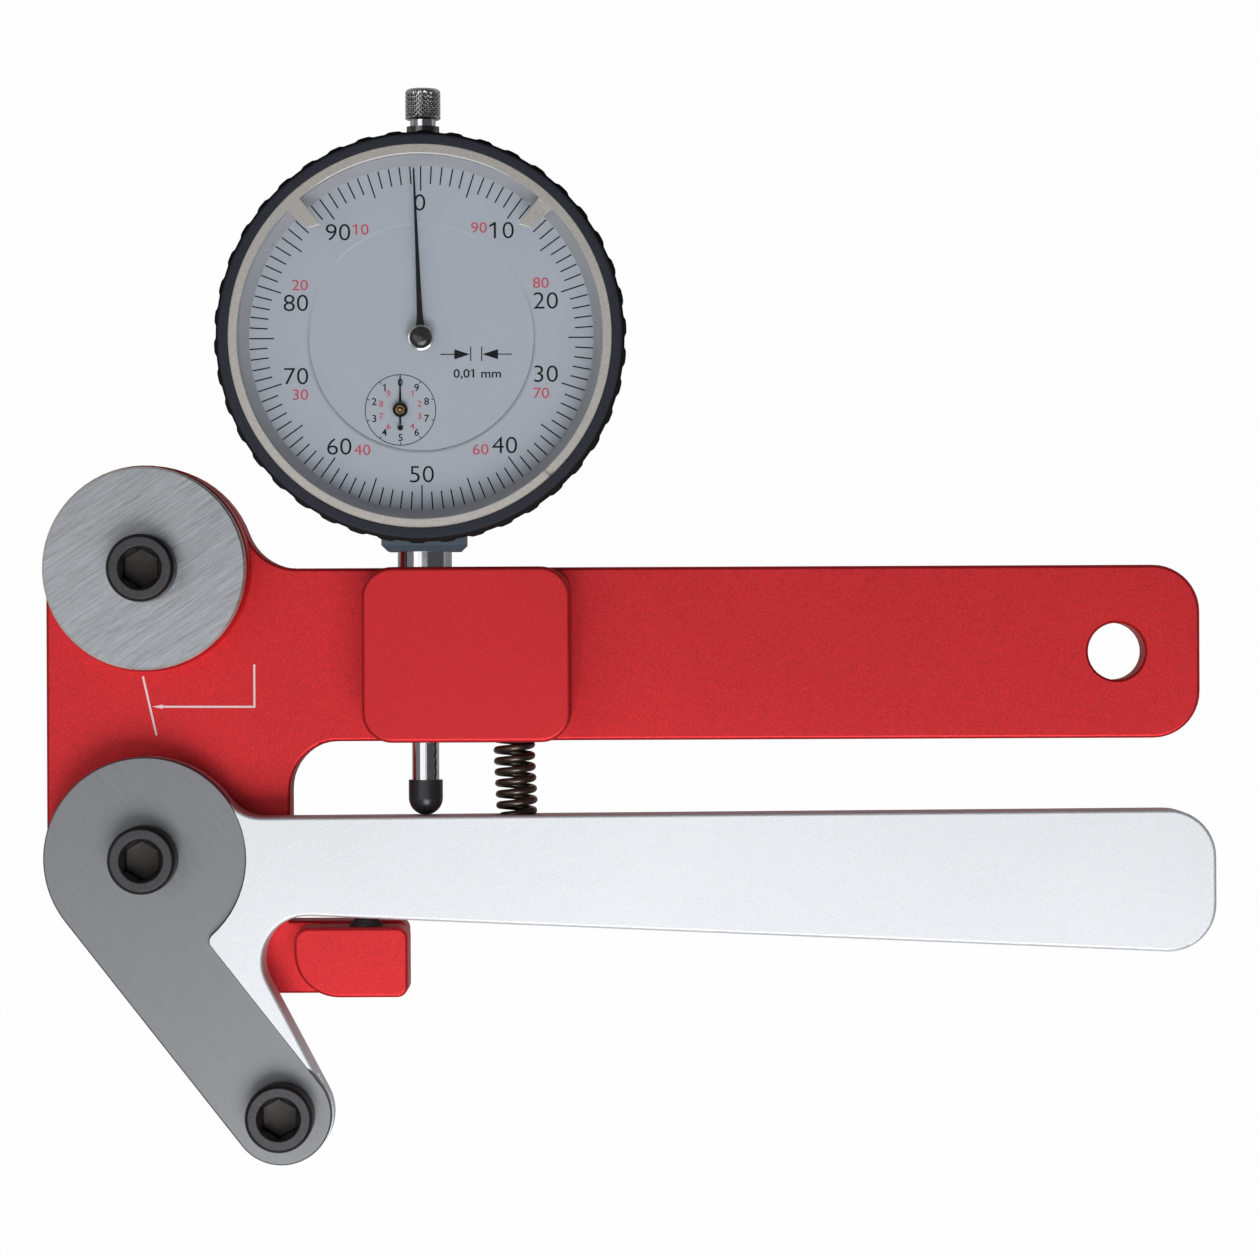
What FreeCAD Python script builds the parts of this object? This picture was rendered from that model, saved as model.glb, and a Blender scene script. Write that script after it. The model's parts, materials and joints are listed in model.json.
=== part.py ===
import FreeCAD, Part
import math
import os

# Spoke tension meter, lying on its back. The origin is the lever's pivot axis at the back face of
# the frame plate: +X runs along the handles, +Y towards the dial gauge, +Z out of the dial.

V = FreeCAD.Vector
X_AXIS = V(1, 0, 0)
Y_AXIS = V(0, 1, 0)
Z_AXIS = V(0, 0, 1)
ORIGIN = V(0, 0, 0)
UPRIGHT = 90.0

# ------------------------------------------------------------------ driving sizes, millimetres
# Frame plate
PLATE_THICK = 8.0
PLATE_LEFT = 15.4
HEEL_RIGHT = 20.9
HANDLE_END = 156.5
HANDLE_WIDTH = 25.8
HANDLE_CORNER = 7.0
SHOULDER_RADIUS = 8.0
NOTCH_RADIUS = 7.2
FOOT_TOP = -10.2
FOOT_BOTTOM = -20.5
FOOT_RIGHT = 38.7
FOOT_CORNER = 1.6
TOE_RISE = 0.5
TOE_INSET = 0.35
HEEL_TURN = 230.0
HANG_HOLE_RADIUS = 4.25
HANG_HOLE_INSET = 12.4
BEVEL = 0.5
HOLE_BEVEL = 0.35
BOSS_STEP = 0.25

# Spoke posts: three posts a span apart, the lowest one on the lever's arm
POST_SPAN = 42.8
ARM_ANGLE = 27.8
DISC_RADIUS = 15.0
DISC_THICK = 2.3
DISC_FRONT_RISE = 8.2
POST_HEAD_RADIUS = 5.0
POST_HEAD_HEIGHT = 6.0
POST_SHANK_RADIUS = 3.0
POST_HEX_FLATS = 5.0
SOCKET_DEPTH = 3.6
SOCKET_MOUTH = 3.2
DRILL_TIP = 0.8
HEAD_BEVEL = 0.45
SHANK_TIP_BEVEL = 0.4
DISC_BEVEL = 0.3
BLIND_FLOOR = 1.5
SCREW_END_ROOM = 0.5

# Lever
LEVER_THICK = 9.0
LEVER_TOP = 6.0
LEVER_TOP_TILT = 0.25
LEVER_BOTTOM = 7.35
LEVER_BOTTOM_TILT = 2.62
LEVER_END = 157.7
LEVER_CORNER = 7.0
LEVER_FLOOR = 1.0
LEVER_NECK_RADIUS = 6.4
LEVER_CROTCH_RADIUS = 6.6
ARM_END_RADIUS = 7.55
WASHER_THICK = 0.5
WASHER_RADIUS = 8.0
SLEEVE_RADIUS = 4.0
BUSH_WALL = 1.5
WEAR_BAR_RADIUS = 7.4
WEAR_CORNER = 1.2
LAND_CUT_RADIUS = 8.1
WEAR_BEVEL = 0.2
OPEN_SIDE_REACH = 1.0

# Stem-clamp block and stop block
BLOCK_LEFT = 32.3
BLOCK_WIDTH = 30.6
BLOCK_FRONT_RISE = 12.0
BLOCK_CORNER = 4.4
STEM_RISE = 5.0
SPINDLE_X = 41.3
SPRING_X = 54.5
BLOCK_BEVEL = 0.6
STOP_LEFT = 22.0
STOP_OUTER_CORNER = 6.6
STOP_INNER_CORNER = 2.1
STOP_FRONT_RISE = 9.0
STOP_SCREW_X = 32.4
STOP_SCREW_RADIUS = 2.5
STOP_SCREW_SINK = 0.8
STOP_TIP_FLAT = 1.5
STOP_HEX_FLATS = 2.5
CLAMP_SCREW_RADIUS = 2.0
CLAMP_SCREW_SINK = 0.6
CLAMP_HEX_FLATS = 2.0
CLAMP_SOCKET_DEPTH = 1.4

# Return spring
SPRING_RADIUS = 3.1
SPRING_WIRE = 1.05
SPRING_PITCH = 1.61
SPRING_SEAT_UP = 10.0
SPRING_SEAT_DOWN = 3.0

# Dial gauge shell
BEZEL_RADIUS = 30.0
BEZEL_BODY_STEP = 0.3
BEZEL_WALL = 2.5
BEZEL_FRONT_BEVEL = 0.7
BEZEL_BACK_BEVEL = 0.4
BEZEL_RIBS = 42
RIB_SHARE = 0.6
RIB_BACK_MARGIN = 1.2
RIB_FRONT_MARGIN = 1.4
BEZEL_WIRE_RADIUS = 0.3
STEM_SHOW = 2.3
NECK_DROP = 1.1
NECK_WIDTH = 12.3
NECK_DEPTH = 11.0
NECK_BEVEL = 0.9
TOP_BOSS_WALL = 1.8
TOP_BOSS_REACH = 2.2
STEM_RADIUS = 4.0
STEM_BORE = 2.6
STEM_SHOULDER = 2.0
LOWER_BUSH_LENGTH = 8.0
CASE_WALL = 2.2
DIAL_LEDGE_STEP = 0.6
CASE_BACK_DROP = 6.5
CASE_FRONT_RISE = 7.3
BEZEL_BACK_RISE = 5.8
CASE_GROOVE_BACK = 0.35
CASE_GROOVE_FRONT = 1.15
CASE_GROOVE_DEPTH = 0.45
COVER_THICK = 1.5
COVER_BEVEL = 0.6
COVER_SCREW_RADIUS = 0.6
COVER_HEAD_RADIUS = 1.05
COVER_HEAD_HEIGHT = 0.6
COVER_SCREW_GRIP = 3.2
MOVEMENT_POST_RADIUS = 2.0
PLATE_SCREW_RADIUS = 0.7
PLATE_HEAD_RADIUS = 1.3
PLATE_HEAD_HEIGHT = 0.8
PLATE_SCREW_GRIP = 3.5
DIAL_RISE = 8.05
DIAL_OPENING = 25.2
SHEET = 0.4
INNER_DIAL_RADIUS = 16.4
INNER_DIAL_SINK = 0.15
DIAL_EDGE_SLOPE = 0.35
DIAL_FOOT_RADIUS = 0.7
DIAL_FOOT_REACH = 10.0
DIAL_FOOT_ANGLES = (165.0, 345.0)
DIAL_CENTRE_HOLE = 1.4
DIAL_COUNTER_HOLE = 0.9
CRYSTAL_RISE = 12.0
CRYSTAL_THICK = 1.05
CRYSTAL_BEVEL = 0.25
RING_RECESS_WALL = 1.7
RING_LIP = 0.15
RING_LIP_HEIGHT = 0.25
RING_WIDTH = 1.42
RING_SHEET = 0.5
RING_BEVEL = 0.12
RING_SPLIT_GAP = 1.0
TAB_ANGLE = 43.5
TAB_ROOT_HALF = 1.3
TAB_LONG_REACH = 4.9
TAB_LONG_OFFSET = 0.75
TAB_SHORT_REACH = 4.0
TAB_SHORT_OFFSET = 0.97

# Spindle
SPINDLE_RADIUS = 2.0
SPINDLE_TOP_RADIUS = 1.875
CAP_RADIUS = 2.525
CAP_HEIGHT = 5.2
KNOB_RADIUS = 2.65
KNOB_HEIGHT = 4.6
KNOB_GAP = 1.02
TOP_BUSH_RADIUS = 2.42
TOP_BUSH_SHOW = 1.74
TOP_BUSH_INSIDE = 2.0
SPINDLE_STEP_Y = 16.0
CAP_JOINT_RADIUS = 1.0
KNOB_JOINT_RADIUS = 1.2
JOINT_DEPTH = 3.0
KNOB_ROUNDING = 0.8
GUIDE_PIN_RADIUS = 0.6
GUIDE_PIN_Y = 8.0
GUIDE_PIN_SINK = 0.2
GUIDE_PIN_OVERHANG = 0.8
RAIL_LEFT = 4.2
RAIL_WIDTH = 2.6
RAIL_LOW = 4.0
RAIL_LENGTH = 16.0
RAIL_END = 2.0
RAIL_DEPTH = 3.0
SPINDLE_SPRING_X = 9.0
SPINDLE_SPRING_RADIUS = 1.05
SPINDLE_SPRING_WIRE = 0.3
SPINDLE_SPRING_PITCH = 0.55
SPRING_EYE_RADIUS = 0.95
SPRING_POST_Y = -15.0
SPRING_POST_RADIUS = 0.6
SPRING_POST_DROP = 1.5

# Movement
RACK_PITCH = 0.625
RACK_TEETH = 26
RACK_TEETH_ABOVE = 8
RACK_INSET = 0.49
RACK_PINION_TEETH = 16
RACK_PINION_HALF = 1.0
WHEEL_TEETH = 100
CENTRE_TEETH = 10
TAKEUP_DIRECTION = 60.0
TOOTH_TIP_SHARE = 0.10
TOOTH_ROOT_SHARE = 0.22
MOVEMENT_PLATE = 0.8
WHEEL_THICK = 0.6
ARBOR_RADIUS = 0.5
PIVOT_RADIUS = 0.3
ADDENDUM_SHARE = 0.68
DEDENDUM_SHARE = 0.95
WHEEL_GAP = 0.3
WHEEL_HEADROOM = 1.2
BRIDGE_RADIUS = 15.6
PILLAR_RADIUS = 1.1
PILLAR_INSET = 1.6
TENON_RADIUS = 0.6
POST_INSET = 1.6
REAR_BRIDGE_GAP = 0.7
REAR_BRIDGE_X = -8.0
REAR_BRIDGE_HALF = 8.0
REAR_BRIDGE_CORNER = 1.2
REAR_PILLAR_OFFSET = 6.2
SHOULDER_GAP = 0.05
PILLAR_ANGLES = (0.0, 135.0, 185.0, 320.0)
PLATE_SCREW_ANGLES = (0.0, 150.0, 210.0)
COVER_SCREW_ANGLES = (45.0, 165.0, 285.0)

# Hairspring
COLLET_RADIUS = 0.9
COLLET_HEIGHT = 0.8
HAIRSPRING_TURNS = 6
HAIRSPRING_STEP = 0.6
HAIRSPRING_BAND = 0.12
HAIRSPRING_HEIGHT = 0.4
HAIRSPRING_RISE = 0.2
STUD_RADIUS = 0.45

# Hands
HAND_SHEET = 0.15
MAIN_HAND_LENGTH = 24.8
MAIN_HAND_ROOT_HALF = 0.525
MAIN_HAND_TIP_HALF = 0.2
MAIN_HAND_LEAN = 2.25
MAIN_BLADE_RISE = 0.2
MAIN_HUB_RADIUS = 1.8
MAIN_HUB_HEIGHT = 1.5
HUB_GRIP = 0.8
COUNTER_NEEDLE = 5.0
COUNTER_TAIL = 3.0
COUNTER_ROOT_HALF = 0.3
COUNTER_TIP_HALF = 0.08
COUNTER_DROP_RADIUS = 0.4
COUNTER_HUB_RADIUS = 1.0

# Slot of the small screws
SLOT_HALF = 0.15

# Clearances
RUN = 0.05
PIVOT_RUN = 0.04
PLAY = 0.1
TOUCH = 0.02
RING_GAP = 0.08

# ------------------------------------------------------------------ worked-out levels and places
LEVER_BACK = PLATE_THICK + WASHER_THICK
LEVER_FRONT = LEVER_BACK + LEVER_THICK
POST_FACE = PLATE_THICK + DISC_FRONT_RISE
RECESS_FLOOR = POST_FACE - DISC_THICK
HANDLE_TOP = POST_SPAN
HANDLE_BOTTOM = HANDLE_TOP - HANDLE_WIDTH
BLOCK_RIGHT = BLOCK_LEFT + BLOCK_WIDTH
BLOCK_FRONT = PLATE_THICK + BLOCK_FRONT_RISE
STOP_FRONT = PLATE_THICK + STOP_FRONT_RISE
STEM_Z = PLATE_THICK + STEM_RISE
UPPER_POST = V(0, POST_SPAN, 0)
ARM_DIRECTION = V(math.sin(math.radians(ARM_ANGLE)), -math.cos(math.radians(ARM_ANGLE)), 0)
LOWER_POST = ARM_DIRECTION * POST_SPAN
HANG_HOLE = V(HANDLE_END - HANG_HOLE_INSET, (HANDLE_TOP + HANDLE_BOTTOM) / 2, 0)

NECK_BOTTOM = HANDLE_TOP + STEM_SHOW
GAUGE_Y = NECK_BOTTOM + NECK_DROP + BEZEL_RADIUS
BEZEL_BODY = BEZEL_RADIUS - BEZEL_BODY_STEP
CASE_RADIUS = BEZEL_BODY - BEZEL_WALL
CASE_INNER = CASE_RADIUS - CASE_WALL
CASE_BACK = STEM_Z - CASE_BACK_DROP
CASE_FRONT = STEM_Z + CASE_FRONT_RISE
BEZEL_BACK = STEM_Z + BEZEL_BACK_RISE
DIAL_BACK = STEM_Z + DIAL_RISE
DIAL_FRONT = DIAL_BACK + SHEET
CRYSTAL_BACK = STEM_Z + CRYSTAL_RISE
CRYSTAL_FRONT = CRYSTAL_BACK + CRYSTAL_THICK
RING_RECESS = BEZEL_BODY - RING_RECESS_WALL
RING_OUTER = RING_RECESS - RING_GAP
RING_INNER = RING_OUTER - RING_WIDTH
LOWER_RING_BACK = CRYSTAL_FRONT + RING_GAP
UPPER_RING_BACK = LOWER_RING_BACK + RING_SHEET + RING_GAP
BEZEL_FRONT = UPPER_RING_BACK + RING_SHEET + PLAY + RING_LIP_HEIGHT

MODULE = RACK_PITCH / math.pi
ADDENDUM = ADDENDUM_SHARE * MODULE
DEDENDUM = DEDENDUM_SHARE * MODULE
RACK_PINION_PITCH = RACK_PINION_TEETH * MODULE / 2
WHEEL_PITCH = WHEEL_TEETH * MODULE / 2
CENTRE_PITCH = CENTRE_TEETH * MODULE / 2
RACK_LINE = SPINDLE_RADIUS - RACK_INSET
MESH_SPAN = WHEEL_PITCH + CENTRE_PITCH
COUNTER_X = -(RACK_LINE + RACK_PINION_PITCH)
COUNTER_Y = -math.sqrt(MESH_SPAN ** 2 - COUNTER_X ** 2)
TAKEUP_X = MESH_SPAN * math.cos(math.radians(TAKEUP_DIRECTION))
TAKEUP_Y = MESH_SPAN * math.sin(math.radians(TAKEUP_DIRECTION))
MAIN_PLATE_BACK = STEM_Z + SPINDLE_RADIUS + WHEEL_GAP
MAIN_PLATE_FRONT = MAIN_PLATE_BACK + MOVEMENT_PLATE
WHEEL_BACK = MAIN_PLATE_FRONT + WHEEL_GAP
WHEEL_FRONT = WHEEL_BACK + WHEEL_THICK
FRONT_BRIDGE_BACK = WHEEL_FRONT + WHEEL_HEADROOM
FRONT_BRIDGE_FRONT = FRONT_BRIDGE_BACK + MOVEMENT_PLATE
REAR_BRIDGE_FRONT = STEM_Z - SPINDLE_RADIUS - REAR_BRIDGE_GAP
REAR_BRIDGE_BACK = REAR_BRIDGE_FRONT - MOVEMENT_PLATE
COUNTER_HAND_BACK = DIAL_FRONT + 0.5
MAIN_HAND_BACK = COUNTER_HAND_BACK + 0.9
BEZEL_SEAT = CASE_RADIUS + PLAY
PILLAR_CIRCLE = BRIDGE_RADIUS - PILLAR_INSET
WIRE_LEVEL = BEZEL_BACK + (CASE_GROOVE_BACK + CASE_GROOVE_FRONT) / 2
DIAL_LEDGE = CASE_INNER + DIAL_LEDGE_STEP
SCREW_CIRCLE = CASE_RADIUS - CASE_WALL / 2
POST_CIRCLE = CASE_INNER - POST_INSET
KNOB_LOW = BEZEL_RADIUS + TOP_BUSH_SHOW + KNOB_GAP
SPINDLE_TIP = LEVER_TOP + SPINDLE_X * math.tan(math.radians(LEVER_TOP_TILT)) + TOUCH - GAUGE_Y
STEM_LOW = HANDLE_BOTTOM + STEM_SHOULDER - GAUGE_Y


# ------------------------------------------------------------------ shape helpers
def post(radius, low, high, x=0.0, y=0.0):
    """Cylinder standing along Z between two levels."""
    return Part.makeCylinder(radius, high - low, V(x, y, low), Z_AXIS)


def bar_y(radius, low, high, x, z):
    """Cylinder lying along Y between two values of y."""
    return Part.makeCylinder(radius, high - low, V(x, low, z), Y_AXIS)


def box(x_low, x_high, y_low, y_high, z_low, z_high):
    """Box between two corners."""
    return Part.makeBox(x_high - x_low, y_high - y_low, z_high - z_low, V(x_low, y_low, z_low))


def prism(points, low, high):
    """Prism along Z on a closed outline of (x, y) points."""
    corners = [V(x, y, low) for x, y in points]
    face = Part.Face(Part.makePolygon(corners + corners[:1]))
    return face.extrude(V(0, 0, high - low))


def turned(profile, x=0.0, y=0.0):
    """Ring or disc turned about Z from a closed profile of (radius, z) points."""
    corners = [V(radius, 0, z) for radius, z in profile]
    face = Part.Face(Part.makePolygon(corners + corners[:1]))
    solid = face.revolve(ORIGIN, Z_AXIS, 360)
    solid.translate(V(x, y, 0))
    return solid


def tube_z(outer, inner, low, high, x=0.0, y=0.0):
    """Plain ring standing along Z."""
    return turned([(inner, low), (outer, low), (outer, high), (inner, high)], x, y)


def tube_y(outer, inner, low, high, x, z):
    """Plain tube lying along Y."""
    return bar_y(outer, low, high, x, z).cut(bar_y(inner, low - 1, high + 1, x, z))


def polar(radius, degrees, x=0.0, y=0.0):
    """Point in the plan at a distance and angle from (x, y)."""
    angle = math.radians(degrees)
    return V(x + radius * math.cos(angle), y + radius * math.sin(angle), 0)


def joined(first, *others):
    """One solid made of several that touch or overlap."""
    solid = first.fuse(list(others)).removeSplitter()
    return solid.Solids[0] if len(solid.Solids) == 1 else solid


def gathered(solids):
    """Group of separate solids."""
    return Part.makeCompound(list(solids))


def rounded_block(x_low, x_high, y_low, y_high, z_low, z_high, radii):
    """Block whose four uprights are rounded: radii in the order of the corners below."""
    solid = box(x_low, x_high, y_low, y_high, z_low, z_high)
    corners = ((x_low, y_low), (x_high, y_low), (x_high, y_high), (x_low, y_high))
    for (x, y), radius in zip(corners, radii):
        if radius:
            solid = solid.makeFillet(radius, uprights_at(solid, x, y))
    return solid


def uprights_at(solid, x, y):
    """Edges of a solid that stand along Z over the point (x, y)."""
    near = 1e-3
    chosen = []
    for edge in solid.Edges:
        ends = [vertex.Point for vertex in edge.Vertexes]
        if len(ends) == 2 and all(math.hypot(p.x - x, p.y - y) < near for p in ends):
            chosen.append(edge)
    return chosen


def edges_at_level(solid, level):
    """Edges of a solid that lie in the plane at this height."""
    near = 1e-4
    edges = []
    for edge in solid.Edges:
        reach = edge.BoundBox
        if abs(reach.ZMin - level) < near and abs(reach.ZMax - level) < near:
            edges.append(edge)
    return edges


def bevelled(solid, size, level):
    """Solid with a chamfer on every edge that lies in the plane at this level."""
    return solid.makeChamfer(size, edges_at_level(solid, level))


def rounded(solid, radius, level):
    """Solid with a round on every edge that lies in the plane at this level."""
    return solid.makeFillet(radius, edges_at_level(solid, level))


def edges_at_y(solid, level):
    """Edges of a solid that lie in the plane at this value of y."""
    near = 1e-4
    edges = []
    for edge in solid.Edges:
        reach = edge.BoundBox
        if abs(reach.YMin - level) < near and abs(reach.YMax - level) < near:
            edges.append(edge)
    return edges


def hexagon(flats, low, high):
    """Six-sided prism along Z, given its size across flats."""
    return prism([(p.x, p.y) for p in (polar(flats / math.sqrt(3), 60 * k) for k in range(6))], low, high)


def hollow_corner(inside, first_touch, second_touch, centre, radius, low, high):
    """Fill of an inner corner, whose free side is an arc about a centre outside the part."""
    outline = [(p.x, p.y) for p in (inside, first_touch, centre, second_touch)]
    return prism(outline, low, high).cut(post(radius, low - 1, high + 1, centre.x, centre.y))


def fan(tip_radius, root_radius, teeth, first_tooth, low, high, x, y):
    """Toothed disc with straight-sided teeth, one of them centred on the angle first_tooth."""
    pitch = 360.0 / teeth
    outline = []
    for tooth in range(teeth):
        middle = first_tooth + tooth * pitch
        sides = ((root_radius, -TOOTH_ROOT_SHARE), (tip_radius, -TOOTH_TIP_SHARE),
                 (tip_radius, TOOTH_TIP_SHARE), (root_radius, TOOTH_ROOT_SHARE))
        for radius, share in sides:
            point = polar(radius, middle + share * pitch, x, y)
            outline.append((point.x, point.y))
    return prism(outline, low, high)


def coil(radius, wire, pitch, low, high, x, z):
    """Coil spring along Y with its end turns ground flat at two values of y."""
    path = Part.makeHelix(pitch, high - low + pitch, radius)
    start = V(radius, 0, 0)
    section = Part.Wire(Part.makeCircle(wire / 2, start, Y_AXIS))
    solid = Part.Wire(path).makePipeShell([section], True, True)
    solid.rotate(ORIGIN, X_AXIS, -UPRIGHT)
    solid.translate(V(x, low - pitch / 2, z))
    reach = radius + wire
    ground = solid.common(box(x - reach, x + reach, low, high, z - reach, z + reach))
    return max(ground.Solids, key=lambda part: part.Volume)


def socket_screw(x, y, seat, shank_end):
    """Cap screw with a hexagon socket, its head standing on the level called seat."""
    top = seat + POST_HEAD_HEIGHT
    floor = top - SOCKET_DEPTH
    profile = [(0, shank_end), (POST_SHANK_RADIUS - SHANK_TIP_BEVEL, shank_end),
               (POST_SHANK_RADIUS, shank_end + SHANK_TIP_BEVEL), (POST_SHANK_RADIUS, seat),
               (POST_HEAD_RADIUS, seat), (POST_HEAD_RADIUS, top - HEAD_BEVEL),
               (POST_HEAD_RADIUS - HEAD_BEVEL, top), (SOCKET_MOUTH, top), (0, top - SOCKET_MOUTH)]
    drill_tip = turned([(0, floor - DRILL_TIP), (POST_HEX_FLATS / 2, floor), (0, top)])
    screw = turned(profile).cut(hexagon(POST_HEX_FLATS, floor, top + 1)).cut(drill_tip)
    screw.translate(V(x, y, 0))
    return screw


def small_screw(x, y, seat, head_radius, head_height, shank_radius, shank_length):
    """Slotted cheese-head screw pointing down -Z from the level called seat."""
    top = seat + head_height
    slot = box(-head_radius, head_radius, -SLOT_HALF, SLOT_HALF, top - head_height / 2, top + 1)
    screw = turned([(0, seat - shank_length), (shank_radius, seat - shank_length), (shank_radius, seat),
                    (head_radius, seat), (head_radius, top), (0, top)]).cut(slot)
    screw.translate(V(x, y, 0))
    return screw


# ------------------------------------------------------------------ frame group
def plate_outline_solid():
    """Plate of the frame: heel, round shoulder, handle and foot, before its bevels."""
    low, high = 0.0, PLATE_THICK
    shoulder = post(PLATE_LEFT, low, high, 0, POST_SPAN)
    heel = box(-PLATE_LEFT, HEEL_RIGHT, 0, HANDLE_TOP, low, high)
    ankle = post(PLATE_LEFT, low, high)
    turn = math.radians(HEEL_TURN)
    leave = polar(PLATE_LEFT, HEEL_TURN)
    slope_x = leave.x + (leave.y - FOOT_BOTTOM) * -math.sin(turn) / -math.cos(turn)
    foot = prism([(leave.x, leave.y), (slope_x, FOOT_BOTTOM), (HEEL_RIGHT, FOOT_BOTTOM),
                  (HEEL_RIGHT, 0), (0, 0)], low, high)
    toe = rounded_block(0, FOOT_RIGHT - TOE_INSET, FOOT_BOTTOM, FOOT_TOP + TOE_RISE, low, high,
                        (FOOT_CORNER, FOOT_CORNER, FOOT_CORNER, FOOT_CORNER))
    handle = rounded_block(0, HANDLE_END, HANDLE_BOTTOM, HANDLE_TOP, low, high,
                           (0, HANDLE_CORNER, HANDLE_CORNER, 0))
    rise = SHOULDER_RADIUS
    reach = math.sqrt((PLATE_LEFT + rise) ** 2 - rise ** 2)
    centre = V(reach, HANDLE_TOP + rise, 0)
    touch = UPPER_POST + (centre - UPPER_POST) * (PLATE_LEFT / (PLATE_LEFT + rise))
    shoulder_fill = hollow_corner(V(PLATE_LEFT / 2, HANDLE_TOP - 1, 0), V(reach, HANDLE_TOP - 1, 0),
                                  touch, centre, rise, low, high)
    notch_centre = V(HEEL_RIGHT + NOTCH_RADIUS, HANDLE_BOTTOM - NOTCH_RADIUS, 0)
    notch_fill = hollow_corner(V(HEEL_RIGHT - 1, HANDLE_BOTTOM + 1, 0), V(HEEL_RIGHT - 1, notch_centre.y, 0),
                               V(notch_centre.x, HANDLE_BOTTOM + 1, 0), notch_centre, NOTCH_RADIUS, low, high)
    return joined(heel, shoulder, ankle, foot, toe, handle, shoulder_fill, notch_fill)


def frame_plate():
    """Machined frame: plate, post boss, stem-clamp block and stop block in one piece."""
    plate = bevelled(rounded(plate_outline_solid(), BEVEL, PLATE_THICK), BEVEL, 0.0)
    below = PLATE_THICK - 2 * BEVEL
    boss = bevelled(post(DISC_RADIUS + BOSS_STEP, below, RECESS_FLOOR, 0, POST_SPAN), BOSS_STEP, RECESS_FLOOR)
    block = rounded_block(BLOCK_LEFT, BLOCK_RIGHT, HANDLE_BOTTOM, HANDLE_TOP, below, BLOCK_FRONT,
                          (BLOCK_CORNER,) * 4)
    block = rounded(block, BLOCK_BEVEL, BLOCK_FRONT)
    stop = rounded_block(STOP_LEFT, FOOT_RIGHT, FOOT_BOTTOM, FOOT_TOP, below, STOP_FRONT,
                         (STOP_OUTER_CORNER, FOOT_CORNER, FOOT_CORNER, STOP_INNER_CORNER))
    stop = rounded(stop, BEVEL, STOP_FRONT)
    frame = joined(plate, boss, block, stop)
    holes = [post(POST_SHANK_RADIUS, BLIND_FLOOR, RECESS_FLOOR + 1, 0, POST_SPAN),
             post(POST_SHANK_RADIUS, BLIND_FLOOR, PLATE_THICK + 1),
             bar_y(STEM_RADIUS, HANDLE_BOTTOM + STEM_SHOULDER, HANDLE_TOP + 1, SPINDLE_X, STEM_Z),
             bar_y(STEM_BORE, HANDLE_BOTTOM - 1, HANDLE_BOTTOM + STEM_SHOULDER + 1, SPINDLE_X, STEM_Z),
             bar_y(SPRING_RADIUS + 2 * PLAY, HANDLE_BOTTOM - 1, HANDLE_BOTTOM + SPRING_SEAT_UP, SPRING_X, STEM_Z),
             bar_y(STOP_SCREW_RADIUS, FOOT_BOTTOM - 1, FOOT_TOP + 1, STOP_SCREW_X, STEM_Z),
             post(CLAMP_SCREW_RADIUS, -1, STEM_Z - STEM_RADIUS + 1, SPINDLE_X, HANG_HOLE.y),
             post(HANG_HOLE_RADIUS, -1, PLATE_THICK + 1, HANG_HOLE.x, HANG_HOLE.y)]
    for hole in holes:
        frame = frame.cut(hole)
    mouth = HANG_HOLE_RADIUS + HOLE_BEVEL
    for level, inward in ((0.0, 1), (PLATE_THICK, -1)):
        cone = turned([(0, level), (mouth, level), (HANG_HOLE_RADIUS, level + inward * HOLE_BEVEL),
                       (0, level + inward * HOLE_BEVEL)], HANG_HOLE.x, HANG_HOLE.y)
        frame = frame.cut(cone)
    return frame


def fixed_disc():
    """Ground steel disc under the upper post."""
    disc = bevelled(post(DISC_RADIUS, RECESS_FLOOR, POST_FACE, 0, POST_SPAN), DISC_BEVEL, POST_FACE)
    return disc.cut(post(POST_SHANK_RADIUS, RECESS_FLOOR - 1, POST_FACE + 1, 0, POST_SPAN))


def pivot_sleeve():
    """Hard sleeve that the lever turns on, clamped between the plate and the pivot screw."""
    return tube_z(SLEEVE_RADIUS, POST_SHANK_RADIUS, PLATE_THICK, POST_FACE + RUN)


def pivot_washer():
    """Thin washer that keeps the lever off the plate."""
    return tube_z(WASHER_RADIUS, SLEEVE_RADIUS, PLATE_THICK, LEVER_BACK - TOUCH)


def stop_screw():
    """Set screw with a bevelled flat tip that the lever rests on, and a socket at its tail, sunk in the foot."""
    tip = lever_bottom_at(STOP_SCREW_X + STOP_TIP_FLAT) - TOUCH
    tail = FOOT_BOTTOM + STOP_SCREW_SINK
    screw = turned([(0, tail), (STOP_SCREW_RADIUS, tail),
                    (STOP_SCREW_RADIUS, tip + STOP_TIP_FLAT - STOP_SCREW_RADIUS), (STOP_TIP_FLAT, tip), (0, tip)])
    screw = screw.cut(hexagon(STOP_HEX_FLATS, tail - 1, tail + STOP_SCREW_RADIUS))
    screw.rotate(ORIGIN, X_AXIS, -UPRIGHT)
    screw.translate(V(STOP_SCREW_X, 0, STEM_Z))
    return screw


def stem_clamp_screw():
    """Grub screw from the back that holds the gauge stem in its bore."""
    low, high = CLAMP_SCREW_SINK, STEM_Z - STEM_RADIUS
    screw = post(CLAMP_SCREW_RADIUS, low, high).cut(hexagon(CLAMP_HEX_FLATS, low - 1, low + CLAMP_SOCKET_DEPTH))
    screw.translate(V(SPINDLE_X, HANG_HOLE.y, 0))
    return screw


# ------------------------------------------------------------------ lever group
def lever_top_at(x):
    """Height of the lever's top edge over the pivot axis."""
    return LEVER_TOP + x * math.tan(math.radians(LEVER_TOP_TILT))


def lever_bottom_at(x):
    """Height of the lever's bottom edge."""
    return -LEVER_BOTTOM - x * math.tan(math.radians(LEVER_BOTTOM_TILT))


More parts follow.
